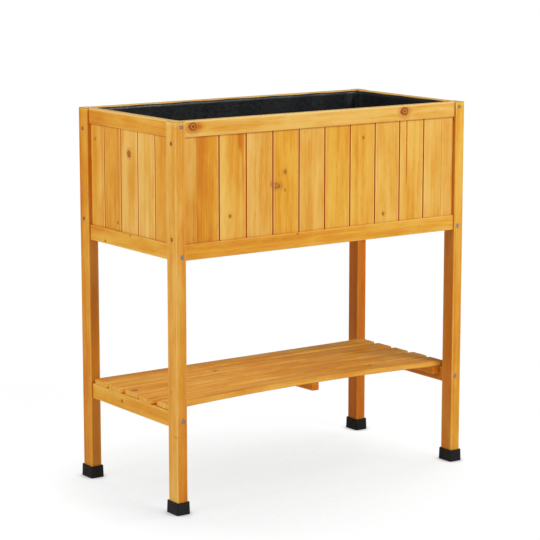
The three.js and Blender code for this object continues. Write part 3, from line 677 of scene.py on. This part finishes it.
LEFT_BOARDS = [
    look(0.08, 0.5, (0.03, -0.03), (0.02, 0.01), (774.1, 18, 2.2)),
    look(-0.38, 0.5, (0.2, 0.02), (0.0, 0.02), (598.8, 109.8, 2.6)),
    look(0.34, 0.25, (0.152, -0.026), (0.04, 0.02), (754.6, 159.1, 5.8)),
    look(0.42, 0.25, (0.33, 0.03), (0.0, 0.0)),
    look(-0.42, 0.5, (0.36, 0.03), (0.02, 0.01)),
]
long_joints = joints_between(STILE_WIDTH, WALLS["front"].span - STILE_WIDTH, 56 * MM)
end_joints = joints_between(FIT, WALLS["left"].span, 55 * MM)
dice = np.random.default_rng(5)


def cast_boards(joints, palest, knotty, *knot):
    """Looks of the boards of a wall that is out of sight, by dice. Those listed as knotty get a knot."""
    rows = []
    for i, start in enumerate(joints[:-1]):
        tint, drift, aside, depth = dice.uniform((palest, -0.03, -0.05, -0.04), (0.35, 0.03, 0.12, 0.03))
        knots = [(knot[0], start / MM + knot[1], knot[2])] if i in knotty else []
        rows.append(look(tint, 0.5, (start + aside, depth), (drift, 0.01), *knots))
    return rows


back_looks = cast_boards(long_joints, -0.35, (2, 6), 660, 30, 4)
right_looks = cast_boards(end_joints, -0.3, (3,), 700, 25, 5)
for side, joints, looks, seed in (
        ("front", long_joints, FRONT_BOARDS, 31), ("left", end_joints, LEFT_BOARDS, 41),
        ("back", long_joints, back_looks, 50), ("right", end_joints, right_looks, 70)):
    nodes = [f"{side}_boards"] if side in ("back", "right") else None
    for i, own in enumerate(looks):
        board(side, f"{side}_board_{i + 1}", joints[i], joints[i + 1], i > 0, i < len(looks) - 1, nodes,
              seed=seed + i, **own)
    print(side, "wall:", len(looks), "boards")

# %% [markdown]
# A stile closes each end of the long walls. It lies flush with the boards outside and with the
# rails inside, and it is notched to a bare-faced tenon at each end, which goes into the groove.
# The notch only shows inside, so the stile is its outline seen from the side, carried across it.

# %% Stiles
def stile(side, name, start, seed, tint, low_tint=0.0):
    """A stile as a row of sections up its length: thin in the grooves, full between the rails.
    low_tint adds to the tint near its foot."""
    wall = WALLS[side]
    height, shoulder, cut = wall.board_length, HOUSED + FIT, 0.01 * MM
    corners = [(FIT, BOARD_FACE, 0.1), (STILE_WIDTH - FIT, BOARD_FACE, 0.1),
               (STILE_WIDTH - FIT, RAIL_THICK, 0.2), (FIT, RAIL_THICK, 0.2)]
    outline, glaze = section([(x, y, 0.5 * MM, pool) for x, y, pool in corners], spacing=5 * MM)
    notches = [shoulder, shoulder + cut, height - shoulder - cut, height - shoulder]
    places = np.unique(np.append(np.linspace(0, height, 24), notches).round(6))
    full = (places > shoulder + cut / 2) & (places < height - shoulder - cut / 2)
    share = (np.where(full, RAIL_THICK, BOARD_BACK) - BOARD_FACE) / (RAIL_THICK - BOARD_FACE)
    y = BOARD_FACE + (outline[None, :, 1] - BOARD_FACE) * share[:, None]
    y = np.concatenate([y, y[:1], y[-1:]])
    x = np.broadcast_to(outline[:, 0], y.shape)
    along = np.repeat(np.append(places, [0, height]), len(outline)).reshape(y.shape)
    place = wall.start + (wall.foot + along[..., None]) * Z + (x + start)[..., None] * wall.right
    place = place + y[..., None] * wall.inwards
    piece = new_piece(name, place, weave_faces(len(places), len(outline)), glazed_fir, [name])
    tree, branch = grain_field(along, x, y, [], (0.05, 0.02), (0.01, 0.0), seed)
    pool = np.tile(glaze, (len(y), 1)) + groove_glaze_and_painted_light(height)(along, x, y)
    tint = tint + low_tint * np.interp(along, [0.08, 0.18], [1, 0])
    tone = np.stack([tint, pool, np.full(y.shape, 0.1)], axis=-1)
    keep(piece, grain=tree, knot=branch, tone=tone)


far_stile = WALLS["front"].span - STILE_WIDTH
stile("front", "front_left_stile", 0, 61, 0.0, -0.6)
stile("front", "front_right_stile", far_stile, 62, 0.5)
stile("back", "back_right_stile", 0, 63, 0.1)
stile("back", "back_left_stile", far_stile, 64, 0.0)
print("stiles: 4, each", STILE_WIDTH, "m wide")

# %% [markdown]
# The trough's floor is out of sight: two bare ledgers inside the bottom rails, with boards laid
# across them and gaps that let water out. They are timber like the rest, without the glaze.

# %% Trough floor
def lath_between(name, lengthways, edge, material, slot, thick=None, glaze=-0.35, **looks):
    """A lath that fills a node's box, or lies on its floor with a thickness of its own, with its grain
    along the x or the y direction."""
    low, high = box_of(name)
    if thick:
        high[2] = low[2] + thick
    size, middle = high - low, (low + high) / 2
    across, long, wide = (Y, X, 1) if lengthways == "x" else (-X, Y, 0)
    outline = lath_section(size[wide], size[2], edge, near_knots(looks.get("knots", ())), glaze)
    timber(name, outline, size @ long, np.where(long > 0, low, middle), across, Z, material, slot, **looks)


for i, name in enumerate(["floor_ledger_front", "floor_ledger_back"]):
    lath_between(name, "x", 1 * MM, bare_fir, "raw_wood", seed=80 + i, tint=0.1, pith=(0.03, 0.02))
floor_boards = [f"floor_board_{i + 1}" for i in range(6)]
for i, name in enumerate(floor_boards):
    tint, aside = dice.uniform((-0.3, -0.08), (0.3, 0.08))
    lath_between(name, "y", 1 * MM, bare_fir, "raw_wood", seed=83 + i, tint=tint, pith=(aside, -0.03),
                 drift=(0.0, 0.02))
print("trough floor: 2 ledgers,", len(floor_boards), "boards")

# %% [markdown]
# The shelf's slats are thin, roughly cross-cut boards. Their ends show the saw: the corners have
# broken away a little and no end is quite square. Each end is moved along the slat by a smooth curve
# over its width, and the curve fades out 14 mm in, so that the faces stay flat. The shelf has warped
# since it was nailed: its front edge stands 8.5 mm up in the middle, and its back edge is straight.
# One function gives that rise for the slats and the nails, and the battens under them lean to suit.

# %% Shelf
SLAT_THICK, BATTEN_HEIGHT, SHELF_BOW = 12 * MM, 17 * MM, 8.5 * MM
SAWN_REACH = 14 * MM
SLAT_TOP, RAIL_SIDE = 5.5 * MM, 9.4 * MM  # beyond these from its middle, a point lies on that face
SAWN_ENDS = (3 * MM, 0.9 * MM, 0), (2.5 * MM, 0.6 * MM, 9)  # a broken corner's radius, saw's ripple, seed
slat_boxes = [box_of(f"shelf_slat_{i + 1}") for i in range(5)]
shelf_front, shelf_back = slat_boxes[0][0][1], slat_boxes[-1][1][1]


def broken_ends(width, length, seed):
    """Moves points along a slat. Past a corner's radius an end falls back on a circle, and a ripple adds
    what the saw left."""
    def worn(along, x, y):
        """Each end's curve, times a fade: the square of how near the end is, within the sawn reach."""
        moved = 0.0
        for (radius, saw, shift), from_end, sign in zip(SAWN_ENDS, (along, length - along), (1, -1)):
            off = np.maximum(np.abs(x) - (width / 2 - radius), 0) / radius
            back = radius * (1 - np.sqrt(np.clip(1 - off ** 2, 0, 1)))
            back = back + ripple(seed + shift, saw, x * 40, y * 30)
            moved = moved + sign * np.clip(1 - from_end / SAWN_REACH, 0, 1) ** 2 * back
        return moved
    return worn


def shelf_rise(share, y):
    """How far the shelf stands up: a parabola over its length, all of it in front and nothing at the back."""
    return SHELF_BOW * (1 - (2 * share - 1) ** 2) * (shelf_back - y) / (shelf_back - shelf_front)


def slat_face_tones(along, x, y):
    """The narrow faces and the underside are a little paler than the tops."""
    return np.where(y > SLAT_TOP, 0.0, 0.25)


def rail_painted_shade(along, x, y):
    """The side of an end rail that faces the other one is out of the light, and is painted darker as painted
    shade.
    """
    return np.where(y < -RAIL_SIDE, -1.3, 0.0)


SLATS = [
    look(0.05, 0.5, (0.03, -0.03), (0.0, 0.006), (570, 12, 3)),
    look(-0.05, 0.5, (-0.02, -0.03), (0.004, 0.004)),
    look(0.05, 0.5, (0.0, -0.025), (0.0, -0.004), (11.5, 4, 5.5)),
    look(-0.12, 0.5, (0.03, -0.04), (0.003, 0.0), (260, -10, 4)),
    look(0.08, 0.5, (-0.04, -0.03), (0.0, 0.004)),
]
for i, looks in enumerate(SLATS):
    low, high = slat_boxes[i]
    size, middle = high - low, (low + high) / 2
    lath_between(f"shelf_slat_{i + 1}", "x", 2.5 * MM, shelf_fir, "shelf_wood", SLAT_THICK, 0.1, seed=91 + i,
                 worn=broken_ends(size[1], size[0], 200 + i), spacing=8 * MM, ease=1.0 * MM, end_glaze=-0.2,
                 lift=lambda along, x: shelf_rise(along / size[0], middle[1] + x), stains=slat_face_tones,
                 **looks)
SHELF_RAILS = {"left": look(-0.2, 1.0, (0.03, 0.03), (0.0, 0.01), (197, 1, 2.4, 1.5), seed=101),
               "right": look(-0.1, 1.0, (0.03, 0.03), (0.0, 0.01), seed=102, stains=rail_painted_shade)}
for end, looks in SHELF_RAILS.items():
    low, high = box_of(f"shelf_rail_{end}")
    size, middle = high - low, (low + high) / 2
    outline = lath_section(size[2], size[0], 2 * MM, near_knots(looks["knots"]))
    timber(f"shelf_rail_{end}", outline, size[1], [middle[0], low[1], middle[2]], Z, X, glazed_fir,
           "frame_wood", **looks)
BATTENS = [f"shelf_batten_{place}" for place in ("left", "middle", "right")]
for i, name in enumerate(BATTENS):
    low, high = box_of(name)
    lean, length = high[2] - low[2] - BATTEN_HEIGHT, high[1] - low[1]
    lath_between(name, "y", 1.5 * MM, shelf_fir, "shelf_wood", BATTEN_HEIGHT, seed=110 + i, tint=-0.6,
                 gold=1.0, end_glaze=0.9, pith=(0.02, 0.02),
                 lift=lambda along, x: lean * (1 - along / length))
    print(name, "stands", round(float(lean / MM), 1), "mm higher in front")
print("shelf:", len(SLATS), "slats, 2 rails,", len(BATTENS), "battens")

# %% [markdown]
# The screws are zinc-plated steel with flat countersunk heads and a cross recess. A head is a
# surface of revolution whose height also depends on the angle, so that the recess is cut out of it.
# The nails in the slats are small brads whose heads lie just under the surface. The recesses, the rim
# of each head and the heads in the legs' side faces are painted dark, as painted shade.

# %% Zinc-plated steel
def zinc_steel():
    """Bright zinc on steel: a metal with a cold tint, cloudy where the plating varies, and dark where shade
    is painted onto it: in the recesses, round the rims and on the heads in the side faces.
    """
    material, node, shader = new_material("steel_zinc_plated")
    cloud = node("TexNoise", {"Vector": node("TexCoord", out="Object"), "Scale": 700.0, "Detail": 2.0})
    hollow = node("Attribute", out="Fac", attribute_name="hollow")
    brighter = node("MapRange", [cloud, 0.3, 0.7], **SOFT)
    metal = node("Mix", {0: brighter, 6: "1A74A4", 7: "4CC6F0"}, **COLOURS)
    feed(shader, {
        "Base Color": node("Mix", {0: hollow, 6: metal, 7: "0E1318"}, **COLOURS),
        "Metallic": 0.9,
        "Roughness": node("MapRange", [cloud, 0.2, 0.8, 0.28, 0.48], **SOFT),
    })
    return material


def turned(radius, height, steps):
    """Points of a profile in mm, turned about its axis in so many steps, as x, y and z."""
    turn = np.arange(steps) * 2 * math.pi / steps
    radius, height = np.array([radius, height])[..., None] * MM
    return radius * np.cos(turn), radius * np.sin(turn), height + 0 * turn


def closed_head(x, y, z, tip, shade, tip_shade):
    """A head as points, their shade and their faces, closed by a fan of triangles over its middle."""
    rings, steps = x.shape
    points = np.append(np.stack([x, y, z], axis=-1).reshape(-1, 3), [[0, 0, tip * MM]], axis=0)
    fan = np.stack([np.full(steps, rings * steps), np.arange(steps), (np.arange(steps) + 1) % steps], axis=-1)
    last = (rings - 1) * steps + np.arange(steps)
    faces = loop_quads(rings, steps)[:, [0, 3, 2, 1]].tolist() + fan.tolist() + [last[::-1].tolist()]
    return points, np.append(shade.ravel(), tip_shade), faces


def screw_head():
    """A countersunk head of 7.8 mm. Its profile runs out over a shallow dome and back in down the cone.
    The recess is a cross: deep where a point is near either of two crossed lines, shallower outwards.
    The recess and the outer rim are painted dark, as painted shade."""
    radius = np.array([0.25, 0.5, 0.75, 1.0, 1.3, 1.6, 1.9, 2.1, 2.4, 3.0, 3.5, 3.75, 3.9, 3.85, 2.9, 1.9])
    height = np.array([0, 0, 0, 0, 0, 0, 0, 0, 0, -0.02, -0.05, -0.09, -0.22, -0.4, -1.3, -2.3]) + 0.12
    x, y, z = turned(radius, height, 48)
    arm, reach = np.minimum(np.abs(x), np.abs(y)), np.maximum(np.abs(x), np.abs(y))
    width = np.interp(reach, [0, 2.0 * MM], [0.75 * MM, 0.45 * MM])
    cut = (arm < width) & (reach < 2.05 * MM) & (z > 0)
    z = z - cut * np.interp(reach, [0, 2.05 * MM], [1.6 * MM, 0.8 * MM])
    # Painted shade on the rim of the head, darkest at its edge.
    rim = np.interp(radius, [2.5, 3.3, 3.9], [0.0, 0.55, 0.95]) * (radius > 2.45)
    rim[-3:] = 0.95
    return closed_head(x, y, z, -1.5, np.where(cut, 1.0, rim[:, None]), 1.0)


def brad_head():
    """A brad's head, 2.6 mm across, with a shallow dimple left by the punch. Its dimple and the side of
    its rim are painted dark, as painted shade.
    """
    x, y, z = turned([0.5, 0.9, 1.3, 1.3], [-0.15, -0.02, 0.1, -0.9], 12)
    return closed_head(x, y, z, -0.2, np.repeat([0.6, 0.4, 0.1, 0.8], 12), 0.7)


def heads(name, shape, places):
    """One piece with a copy of a head at each place, each turned by a chance angle about its normal.
    The heads in the side faces are painted darker by 0.6, a painted dark reflection."""
    points, shade, faces = shape
    all_points, all_faces = [], []
    for i, ((place, normal), turn) in enumerate(zip(places, dice.uniform(0, 1.5, len(places)))):
        first = np.cross(Z if abs(normal[2]) < 0.9 else X, normal)
        second = np.cross(normal, first)
        u = math.cos(turn) * first + math.sin(turn) * second
        v = math.cos(turn) * second - math.sin(turn) * first
        all_points.append(place + points @ np.stack([u, v, normal]))
        all_faces += [[i * len(points) + corner for corner in face] for face in faces]
    piece = new_piece(name, np.concatenate(all_points), all_faces, zinc, sharp=40)
    side_reflection_shade = [0.6 * abs(normal[0]) for _, normal in places]
    keep(piece, hollow=np.clip(np.add.outer(side_reflection_shade, shade), 0, 1).ravel())


zinc = zinc_steel()
dice = np.random.default_rng(11)
heads("leg_screws", screw_head(), screw_places)
batten_x = [box_of(name)[:, 0].mean() for name in BATTENS]
spots = [(i, x + dice.uniform(-3, 3) * MM, slat_boxes[i][:, 1].mean() + dice.uniform(-9, 9) * MM)
         for i in range(5) for x in batten_x] + [(1, -0.380, -0.0755)]
brads = []
for i, x, y in spots:
    low, high = slat_boxes[i]
    top = low[2] + SLAT_THICK + shelf_rise((x - low[0]) / (high[0] - low[0]), y)
    brads.append((np.array([x, y, top]), Z))
heads("slat_brads", brad_head(), brads)
print("fasteners:", len(screw_places), "screws,", len(brads), "brads")

# %% [markdown]
# The legs stand in caps of black rubber, moulded as square cups that widen a little to the floor.
# A cap is a row of rounded rectangles: out along the floor, up the wall, over the rim and down
# inside to the pocket's floor.

# %% Foot caps
def rounded_rectangle(width, depth, radius, steps=8):
    """Points round a rectangle whose corners are quarter circles, anticlockwise, starting on the right."""
    quarter = np.linspace(0, math.pi / 2, steps)
    angle = np.concatenate([quarter + turn * math.pi / 2 for turn in range(4)])
    side = np.repeat([[1, 1], [-1, 1], [-1, -1], [1, -1]], steps, axis=0)
    middle = side * np.array([width / 2 - radius, depth / 2 - radius])
    return middle + radius * np.stack([np.cos(angle), np.sin(angle)], axis=-1)


def cap_rubber():
    """Moulded black rubber: a soft sheen, a faint bloom in patches, and a fine grain from the mould."""
    material, node, shader = new_material("rubber_moulded_black")
    place = node("TexCoord", out="Object")
    bloom = node("TexNoise", {"Vector": place, "Scale": 90.0, "Detail": 4.0})
    grit = node("TexNoise", {"Vector": place, "Scale": 1400.0, "Detail": 1.0})
    patch = node("MapRange", [bloom, 0.35, 0.75], **SOFT)
    feed(shader, {
        "Base Color": node("Mix", {0: patch, 6: "090A08", 7: "141512"}, **COLOURS),
        "Roughness": node("MapRange", [bloom, 0.3, 0.7, 0.5, 0.68], **SOFT),
        "Specular IOR Level": 0.3,
        "Normal": node("Bump", {"Height": grit, "Strength": 0.5, "Distance": 0.1 * MM}),
    })
    return material


rubber = cap_rubber()
POCKET = np.array([25.6, 36.6]) * MM
for name in [f"foot_cap_{end}_{side}" for end in ("front", "back") for side in ("left", "right")]:
    low, high = box_of(name)
    tall = (high[2] - low[2]) / MM
    # each row is (how far outside the pocket, height, corner radius) in mm
    rows = [(-6, 0, 1), (2.7, 0, 3.9), (3.45, 0.12, 4.2), (3.92, 0.4, 4.4), (4.1, 0.9, 4.5), (4.04, 2, 4.5),
            (3.44, tall - 1, 4.5), (3.3, tall - 0.45, 4.4), (2.95, tall - 0.12, 4.2), (2.4, tall, 3.9),
            (0.5, tall, 2.4), (0.15, tall - 0.2, 2.1), (0, tall - 0.7, 2), (0, 3.6, 2), (-0.6, 3, 1.6),
            (-6, 3, 1)]
    rings = [np.pad(rounded_rectangle(*(POCKET + 2 * out * MM), radius * MM), ((0, 0), (0, 1)),
                    constant_values=up * MM) for out, up, radius in rows]
    points = np.concatenate(rings + [rings[0], rings[-1]]) + np.append((low + high)[:2] / 2, low[2])
    new_piece(name, points, weave_faces(len(rows), 32), rubber, [name], sharp=50)
print("foot caps: 4")

# %% [markdown]
# The liner is black polythene film pressed into the trough, folded like an envelope at the corners
# and stapled to the rails just below the rim. It is one sheet, so its surface is worked out as a
# path that goes down the wall, round a soft bend and in over the floor, carried round the trough.
# Creases push it inwards: a few slow waves, sharper ones that fan out of the corners, and a sag of
# the rim between two staples.

# %% Liner
def film():
    """Polythene film: black, with a cold sheen that breaks up on fine creases."""
    material, node, shader = new_material("polythene_film_black")
    place = node("TexCoord", out="Object")
    fine = node("TexNoise", {"Vector": place, "Scale": 160.0, "Detail": 2.0})
    crease = node("TexNoise", {"Vector": place, "Scale": 34.0, "Detail": 4.0, "Distortion": 1.2})
    fold = node("Math", [node("Math", [crease, 0.5], operation="SUBTRACT")], operation="ABSOLUTE")
    flatter = node("MapRange", [fold, 0.0, 0.2], **SOFT)
    height = node("Math", [fine, 0.15, fold], operation="MULTIPLY_ADD")
    feed(shader, {
        "Base Color": node("Mix", {0: flatter, 6: "141618", 7: "0A0B0C"}, **COLOURS),
        "Roughness": node("MapRange", [fine, 0.3, 0.7, 0.36, 0.52], **SOFT),
        "Normal": node("Bump", {"Height": height, "Strength": 0.5, "Distance": 2 * MM}),
    })
    return material


STAPLE_PITCH = 118 * MM
BEND, FOLD_RADIUS = 14 * MM, 9 * MM  # between wall and floor, and of the upright folds
WALL_ROWS, BEND_ROWS, FLOOR_ROWS, ROUND_STEPS = 34, 6, 29, 480
liner_low, liner_high = box_of("liner")
half = (liner_high - liner_low)[:2] / 2 - 0.5 * MM


def liner_sheet():
    """The flat-sided film, in rows from the rim to the middle of the floor, with how far in from the wall and
    how far below the rim each row lies."""
    depth = liner_high[2] - liner_low[2] - 0.6 * MM
    turn = np.linspace(0, math.pi / 2, BEND_ROWS + 1)[1:]
    inner = np.linspace(BEND, half[1] - 1.5 * MM, FLOOR_ROWS + 1)[1:]
    inset = np.concatenate([np.zeros(WALL_ROWS), BEND * (1 - np.cos(turn)), inner])
    drop = np.concatenate([np.linspace(0, depth - BEND, WALL_ROWS), depth - BEND + BEND * np.sin(turn),
                           np.full(FLOOR_ROWS, depth)])
    rings = []
    for push, fall in zip(inset, drop):
        loop = rounded_rectangle(*(2 * (half - push)), max(FOLD_RADIUS - push, 0.8 * MM), 10)
        closed = np.append(loop, loop[:1], axis=0)
        length = np.append(0, np.cumsum(np.linalg.norm(np.diff(closed, axis=0), axis=1)))
        share = np.linspace(0, 1, ROUND_STEPS, endpoint=False) * length[-1]
        rings.append(np.stack([np.interp(share, length, closed[:, 0]), np.interp(share, length, closed[:, 1]),
                               np.full(ROUND_STEPS, -fall)], axis=-1))
    return np.stack(rings), inset[:, None], drop[:, None]


film_points, inset, drop = liner_sheet()
x, y, z = np.moveaxis(film_points.copy(), -1, 0)
on_wall = np.clip(1 - inset / BEND, 0, 1)
top_share = np.clip(1 - drop / (60 * MM), 0, 1) * on_wall
to_corner = np.minimum(half[0] - np.abs(x) + half[1] - np.abs(y), 0.2)
loose = 1.6 + ripple(301, 1.5, x * 5, y * 5, z * 4) + ripple(302, 0.8, x * 17, y * 17, z * 6)
pleats = 3.2 * bell(to_corner, 0, 26) * (0.5 + 0.5 * np.sin(to_corner / (7 * MM) + z * 22))
along_wall = np.where(np.abs(y) > half[1] - 1 * MM, x, y)
between_staples = np.sin(math.pi * along_wall / STAPLE_PITCH) ** 2
push = (np.clip(loose, 0.1, None) + pleats + 1.2 * top_share * between_staples) * MM
inward = np.stack([-np.sign(across) * (np.abs(across) > reach - inset - 8 * MM)
                   for across, reach in zip((x, y), half)], axis=-1)
inward = inward / np.maximum(np.linalg.norm(inward, axis=-1, keepdims=True), 1)
film_points[..., :2] += inward * (push * on_wall)[..., None]
crumple = np.clip(ripple(303, 2.4, x * 9, y * 9) + ripple(304, 1.2, x * 31, y * 27), 0, 3)
sag = top_share * (0.1 + 0.8 * between_staples) * np.clip(1 - drop / (40 * MM), 0, 1)
film_points[..., 2] += ((1 - on_wall) * crumple - sag) * MM
film_points += np.append((liner_low + liner_high)[:2] / 2, liner_high[2] + 2 * MM)
rows = len(film_points)
film_faces = loop_quads(rows, ROUND_STEPS)[:, [0, 3, 2, 1]].tolist()
film_faces.append(((rows - 1) * ROUND_STEPS + np.arange(ROUND_STEPS)).tolist())
liner = new_piece("liner_film", film_points, film_faces, film(), ["liner"], sharp=60)
thickness = liner.modifiers.new("film thickness", "SOLIDIFY")
thickness.thickness, thickness.offset = 0.3 * MM, 0.0

# %% [markdown]
# Staples hold the film to the rails. Each is a flat wire bent into a bridge, whose legs are in the
# wood. The wire's section is carried along a path with two tight bends, and each staple sits a little
# askew, as a hand-held stapler leaves it.

# %% Staples
CROWN, RISE, LEG_REACH, WIRE_BEND = 5 * MM, 0.55 * MM, 2.5 * MM, 0.7 * MM


def staple(place, right, inwards, slant):
    """The wire's path is out of the wood, across and back in. Its section is a small rounded rectangle."""
    turn = np.linspace(0, math.pi / 2, 4)
    bend = np.stack([WIRE_BEND * (1 - np.cos(turn)) - CROWN, RISE - WIRE_BEND * (1 - np.sin(turn))], axis=-1)
    out = np.append([[-CROWN, -LEG_REACH]], bend, axis=0)
    path = np.append(out, out[::-1] * [-1, 1], axis=0)
    tilted = math.cos(slant) * right + math.sin(slant) * Z
    wire = rounded_rectangle(1.1 * MM, 0.5 * MM, 0.2 * MM, 3)
    step = np.gradient(path, axis=0)
    step /= np.linalg.norm(step, axis=1)[:, None]
    normal = np.stack([-step[:, 1], step[:, 0]], axis=-1)
    flat = path[:, None] + wire[None, :, 1, None] * normal[:, None]
    points = place + flat[..., :1] * tilted + flat[..., 1:] * inwards
    points = points + wire[None, :, :1] * np.cross(tilted, -inwards)
    return np.concatenate([points, points[:1], points[-1:]]).reshape(-1, 3), weave_faces(len(path), len(wire))


staple_points, staple_faces = [], []
dice = np.random.default_rng(23)
for side, wall in WALLS.items():
    count = int(2 * half[0 if side in ("front", "back") else 1] // STAPLE_PITCH)
    face = wall.start + (RAIL_THICK + 0.9 * MM) * wall.inwards + 0.5 * wall.span * wall.right
    for k in range(count):
        shift = (k - (count - 1) / 2) * STAPLE_PITCH
        spot = face + shift * wall.right + (liner_high[2] - (8 + dice.uniform(-1, 1)) * MM) * Z
        points, faces = staple(spot, wall.right, wall.inwards, dice.uniform(-0.25, 0.25))
        staple_faces += [[corner + len(points) * len(staple_points) for corner in face_] for face_ in faces]
        staple_points.append(points)
staples = new_piece("liner_staples", np.concatenate(staple_points), staple_faces, zinc)
keep(staples, hollow=np.zeros(len(staples.data.vertices)))
print("staples:", len(staple_points))

# %% [markdown]
# The planter stands on a pale studio floor. The camera sees the floor's shadow over white, so the floor
# mixes plain white with its lit colour for camera rays only, and far from the planter it is all white.
# Light from the sky reaches a point of the floor less where the planter stands over it, and the shader
# can measure that share by itself, so the soft shadow is worked out from it.

# %% Floor
def studio_floor():
    """A pale floor. The camera sees nine tenths of it as white, dimmed where the planter covers the part of
    the sky that leans to the right, so that a soft shadow lies a little to the left. It fades out about
    half a metre from its middle, and far off the camera sees plain white. A painted contact shadow, a
    dark line, lies round each cap."""
    material, node, shader = new_material("studio_floor_pale")
    place = node("TexCoord", out="Object")
    speck = node("TexNoise", {"Vector": place, "Scale": 3.0, "Detail": 2.0})
    feed(shader, {
        "Base Color": node("Mix", {0: speck, 6: "F0F0F0", 7: "F4F4F4"}, **COLOURS),
        "Roughness": 0.9,
        "Specular IOR Level": 0.1,
    })
    far = node("MapRange", [node("VectorMath", [place], "Value", operation="LENGTH"), 0.8, 2.6], **SOFT)
    paper_share = node("Math", [far, 0.1, 0.9], operation="MULTIPLY_ADD")
    share = node("Math", [node("LightPath", out="Is Camera Ray"), paper_share], operation="MULTIPLY")
    lean = node("CombineXYZ", [0.8, 0.15, 0.77])
    open_sky = node("AmbientOcclusion", {"Distance": 1.0, "Normal": lean}, "AO", samples=8)
    lit = node("MapRange", [open_sky, 0.62, 0.84], **SOFT)
    from_middle = node("VectorMath", [place, (-0.08, -0.1, 0)], "Value", operation="DISTANCE")
    fade = node("MapRange", [from_middle, 0.33, 0.53], **SOFT)
    clear = node("Math", [lit, fade], operation="MAXIMUM")
    paper = node("Mix", {0: clear, 6: "E7E8E8", 7: "FFFFFF"}, **COLOURS)
    touching = node("AmbientOcclusion", {"Distance": 0.025}, "AO", samples=8)
    cap_contact_shadow = node("MapRange", [touching, 0.45, 0.95], **SOFT)
    paper = node("Mix", {0: cap_contact_shadow, 6: "AEAEAE", 7: paper}, **COLOURS)
    strength = node("Math", [far, -0.05, 1.06], operation="MULTIPLY_ADD")
    white = node("Emission", {"Color": paper, "Strength": strength})
    mixed = node("MixShader", [share, shader.outputs[0], white])
    feed(material.node_tree.nodes["Material Output"], {"Surface": mixed})
    return material


FLOOR_REACH = 90.0
floor_mesh = bpy.data.meshes.new("studio_floor")
square = np.array([(-1, -1, 0), (1, -1, 0), (1, 1, 0), (-1, 1, 0)]) * FLOOR_REACH
floor_mesh.from_pydata(square.tolist(), [], [(0, 1, 2, 3)])
floor_mesh.materials.append(studio_floor())
studio = place_in_scene("studio_floor", floor_mesh)
print("floor:", 2 * FLOOR_REACH, "m square")

# %% [markdown]
# Two lamps are large and soft, because small ones would draw hard shadows on the floor. One stands high
# at the front, a little to the right, and one to the left, so that the trough shades the inner faces of
# the legs. The world is a dim, slightly cold sky for the object, and plain white for the camera.

# %% Lamps and world
def soft_lamp(name, place, target, size, watts):
    """A square soft lamp that faces a point."""
    lamp = bpy.data.lights.new(name, "AREA")
    lamp.shape, lamp.size, lamp.energy = "SQUARE", size, watts
    holder = place_in_scene(name, lamp)
    holder.location = place
    holder.rotation_euler = (Vector(target) - Vector(place)).to_track_quat("-Z", "Y").to_euler()


soft_lamp("front_lamp", (1.3, -3.3, 3.0), (0, 0, 0.5), 1.6, 112)
soft_lamp("left_lamp", (-3.4, -0.15, 2.4), (0, 0, 0.6), 1.6, 72.5)
world = bpy.data.worlds.new("studio")
bpy.context.scene.world = world
world.use_nodes = True
sky = world.node_tree
seen = add_node(sky, "LightPath", out="Is Camera Ray")
feed(sky.nodes["Background"], {
    "Color": add_node(sky, "Mix", {0: seen, 6: "F7FAFF", 7: "FFFFFF"}, **COLOURS),
    "Strength": add_node(sky, "Math", [seen, 0.74, 0.26], operation="MULTIPLY_ADD"),
})
bpy.context.scene.view_settings.view_transform = "Standard"

# %% [markdown]
# The camera stands to the left of the planter, above its rim and a little under five metres away, and
# looks down by ten degrees. The long lens keeps the lines of the trough nearly parallel.

# %% Camera
YAW, PITCH = 0.6151, 0.1761
look_along = Vector((math.sin(YAW) * math.cos(PITCH), math.cos(YAW) * math.cos(PITCH), -math.sin(PITCH)))
right = Vector((math.cos(YAW), -math.sin(YAW), 0))
axes = Matrix((right, right.cross(look_along), -look_along)).transposed()
lens = bpy.data.cameras.new("camera")
lens.sensor_width, lens.lens = 36.0, 139.84
camera = place_in_scene("camera", lens)
camera.matrix_world = Matrix.Translation((-2.7143, -3.8259, 1.2973)) @ axes.to_4x4()
bpy.context.scene.camera = camera
print("camera:", [round(v, 3) for v in camera.location], "lens", lens.lens)
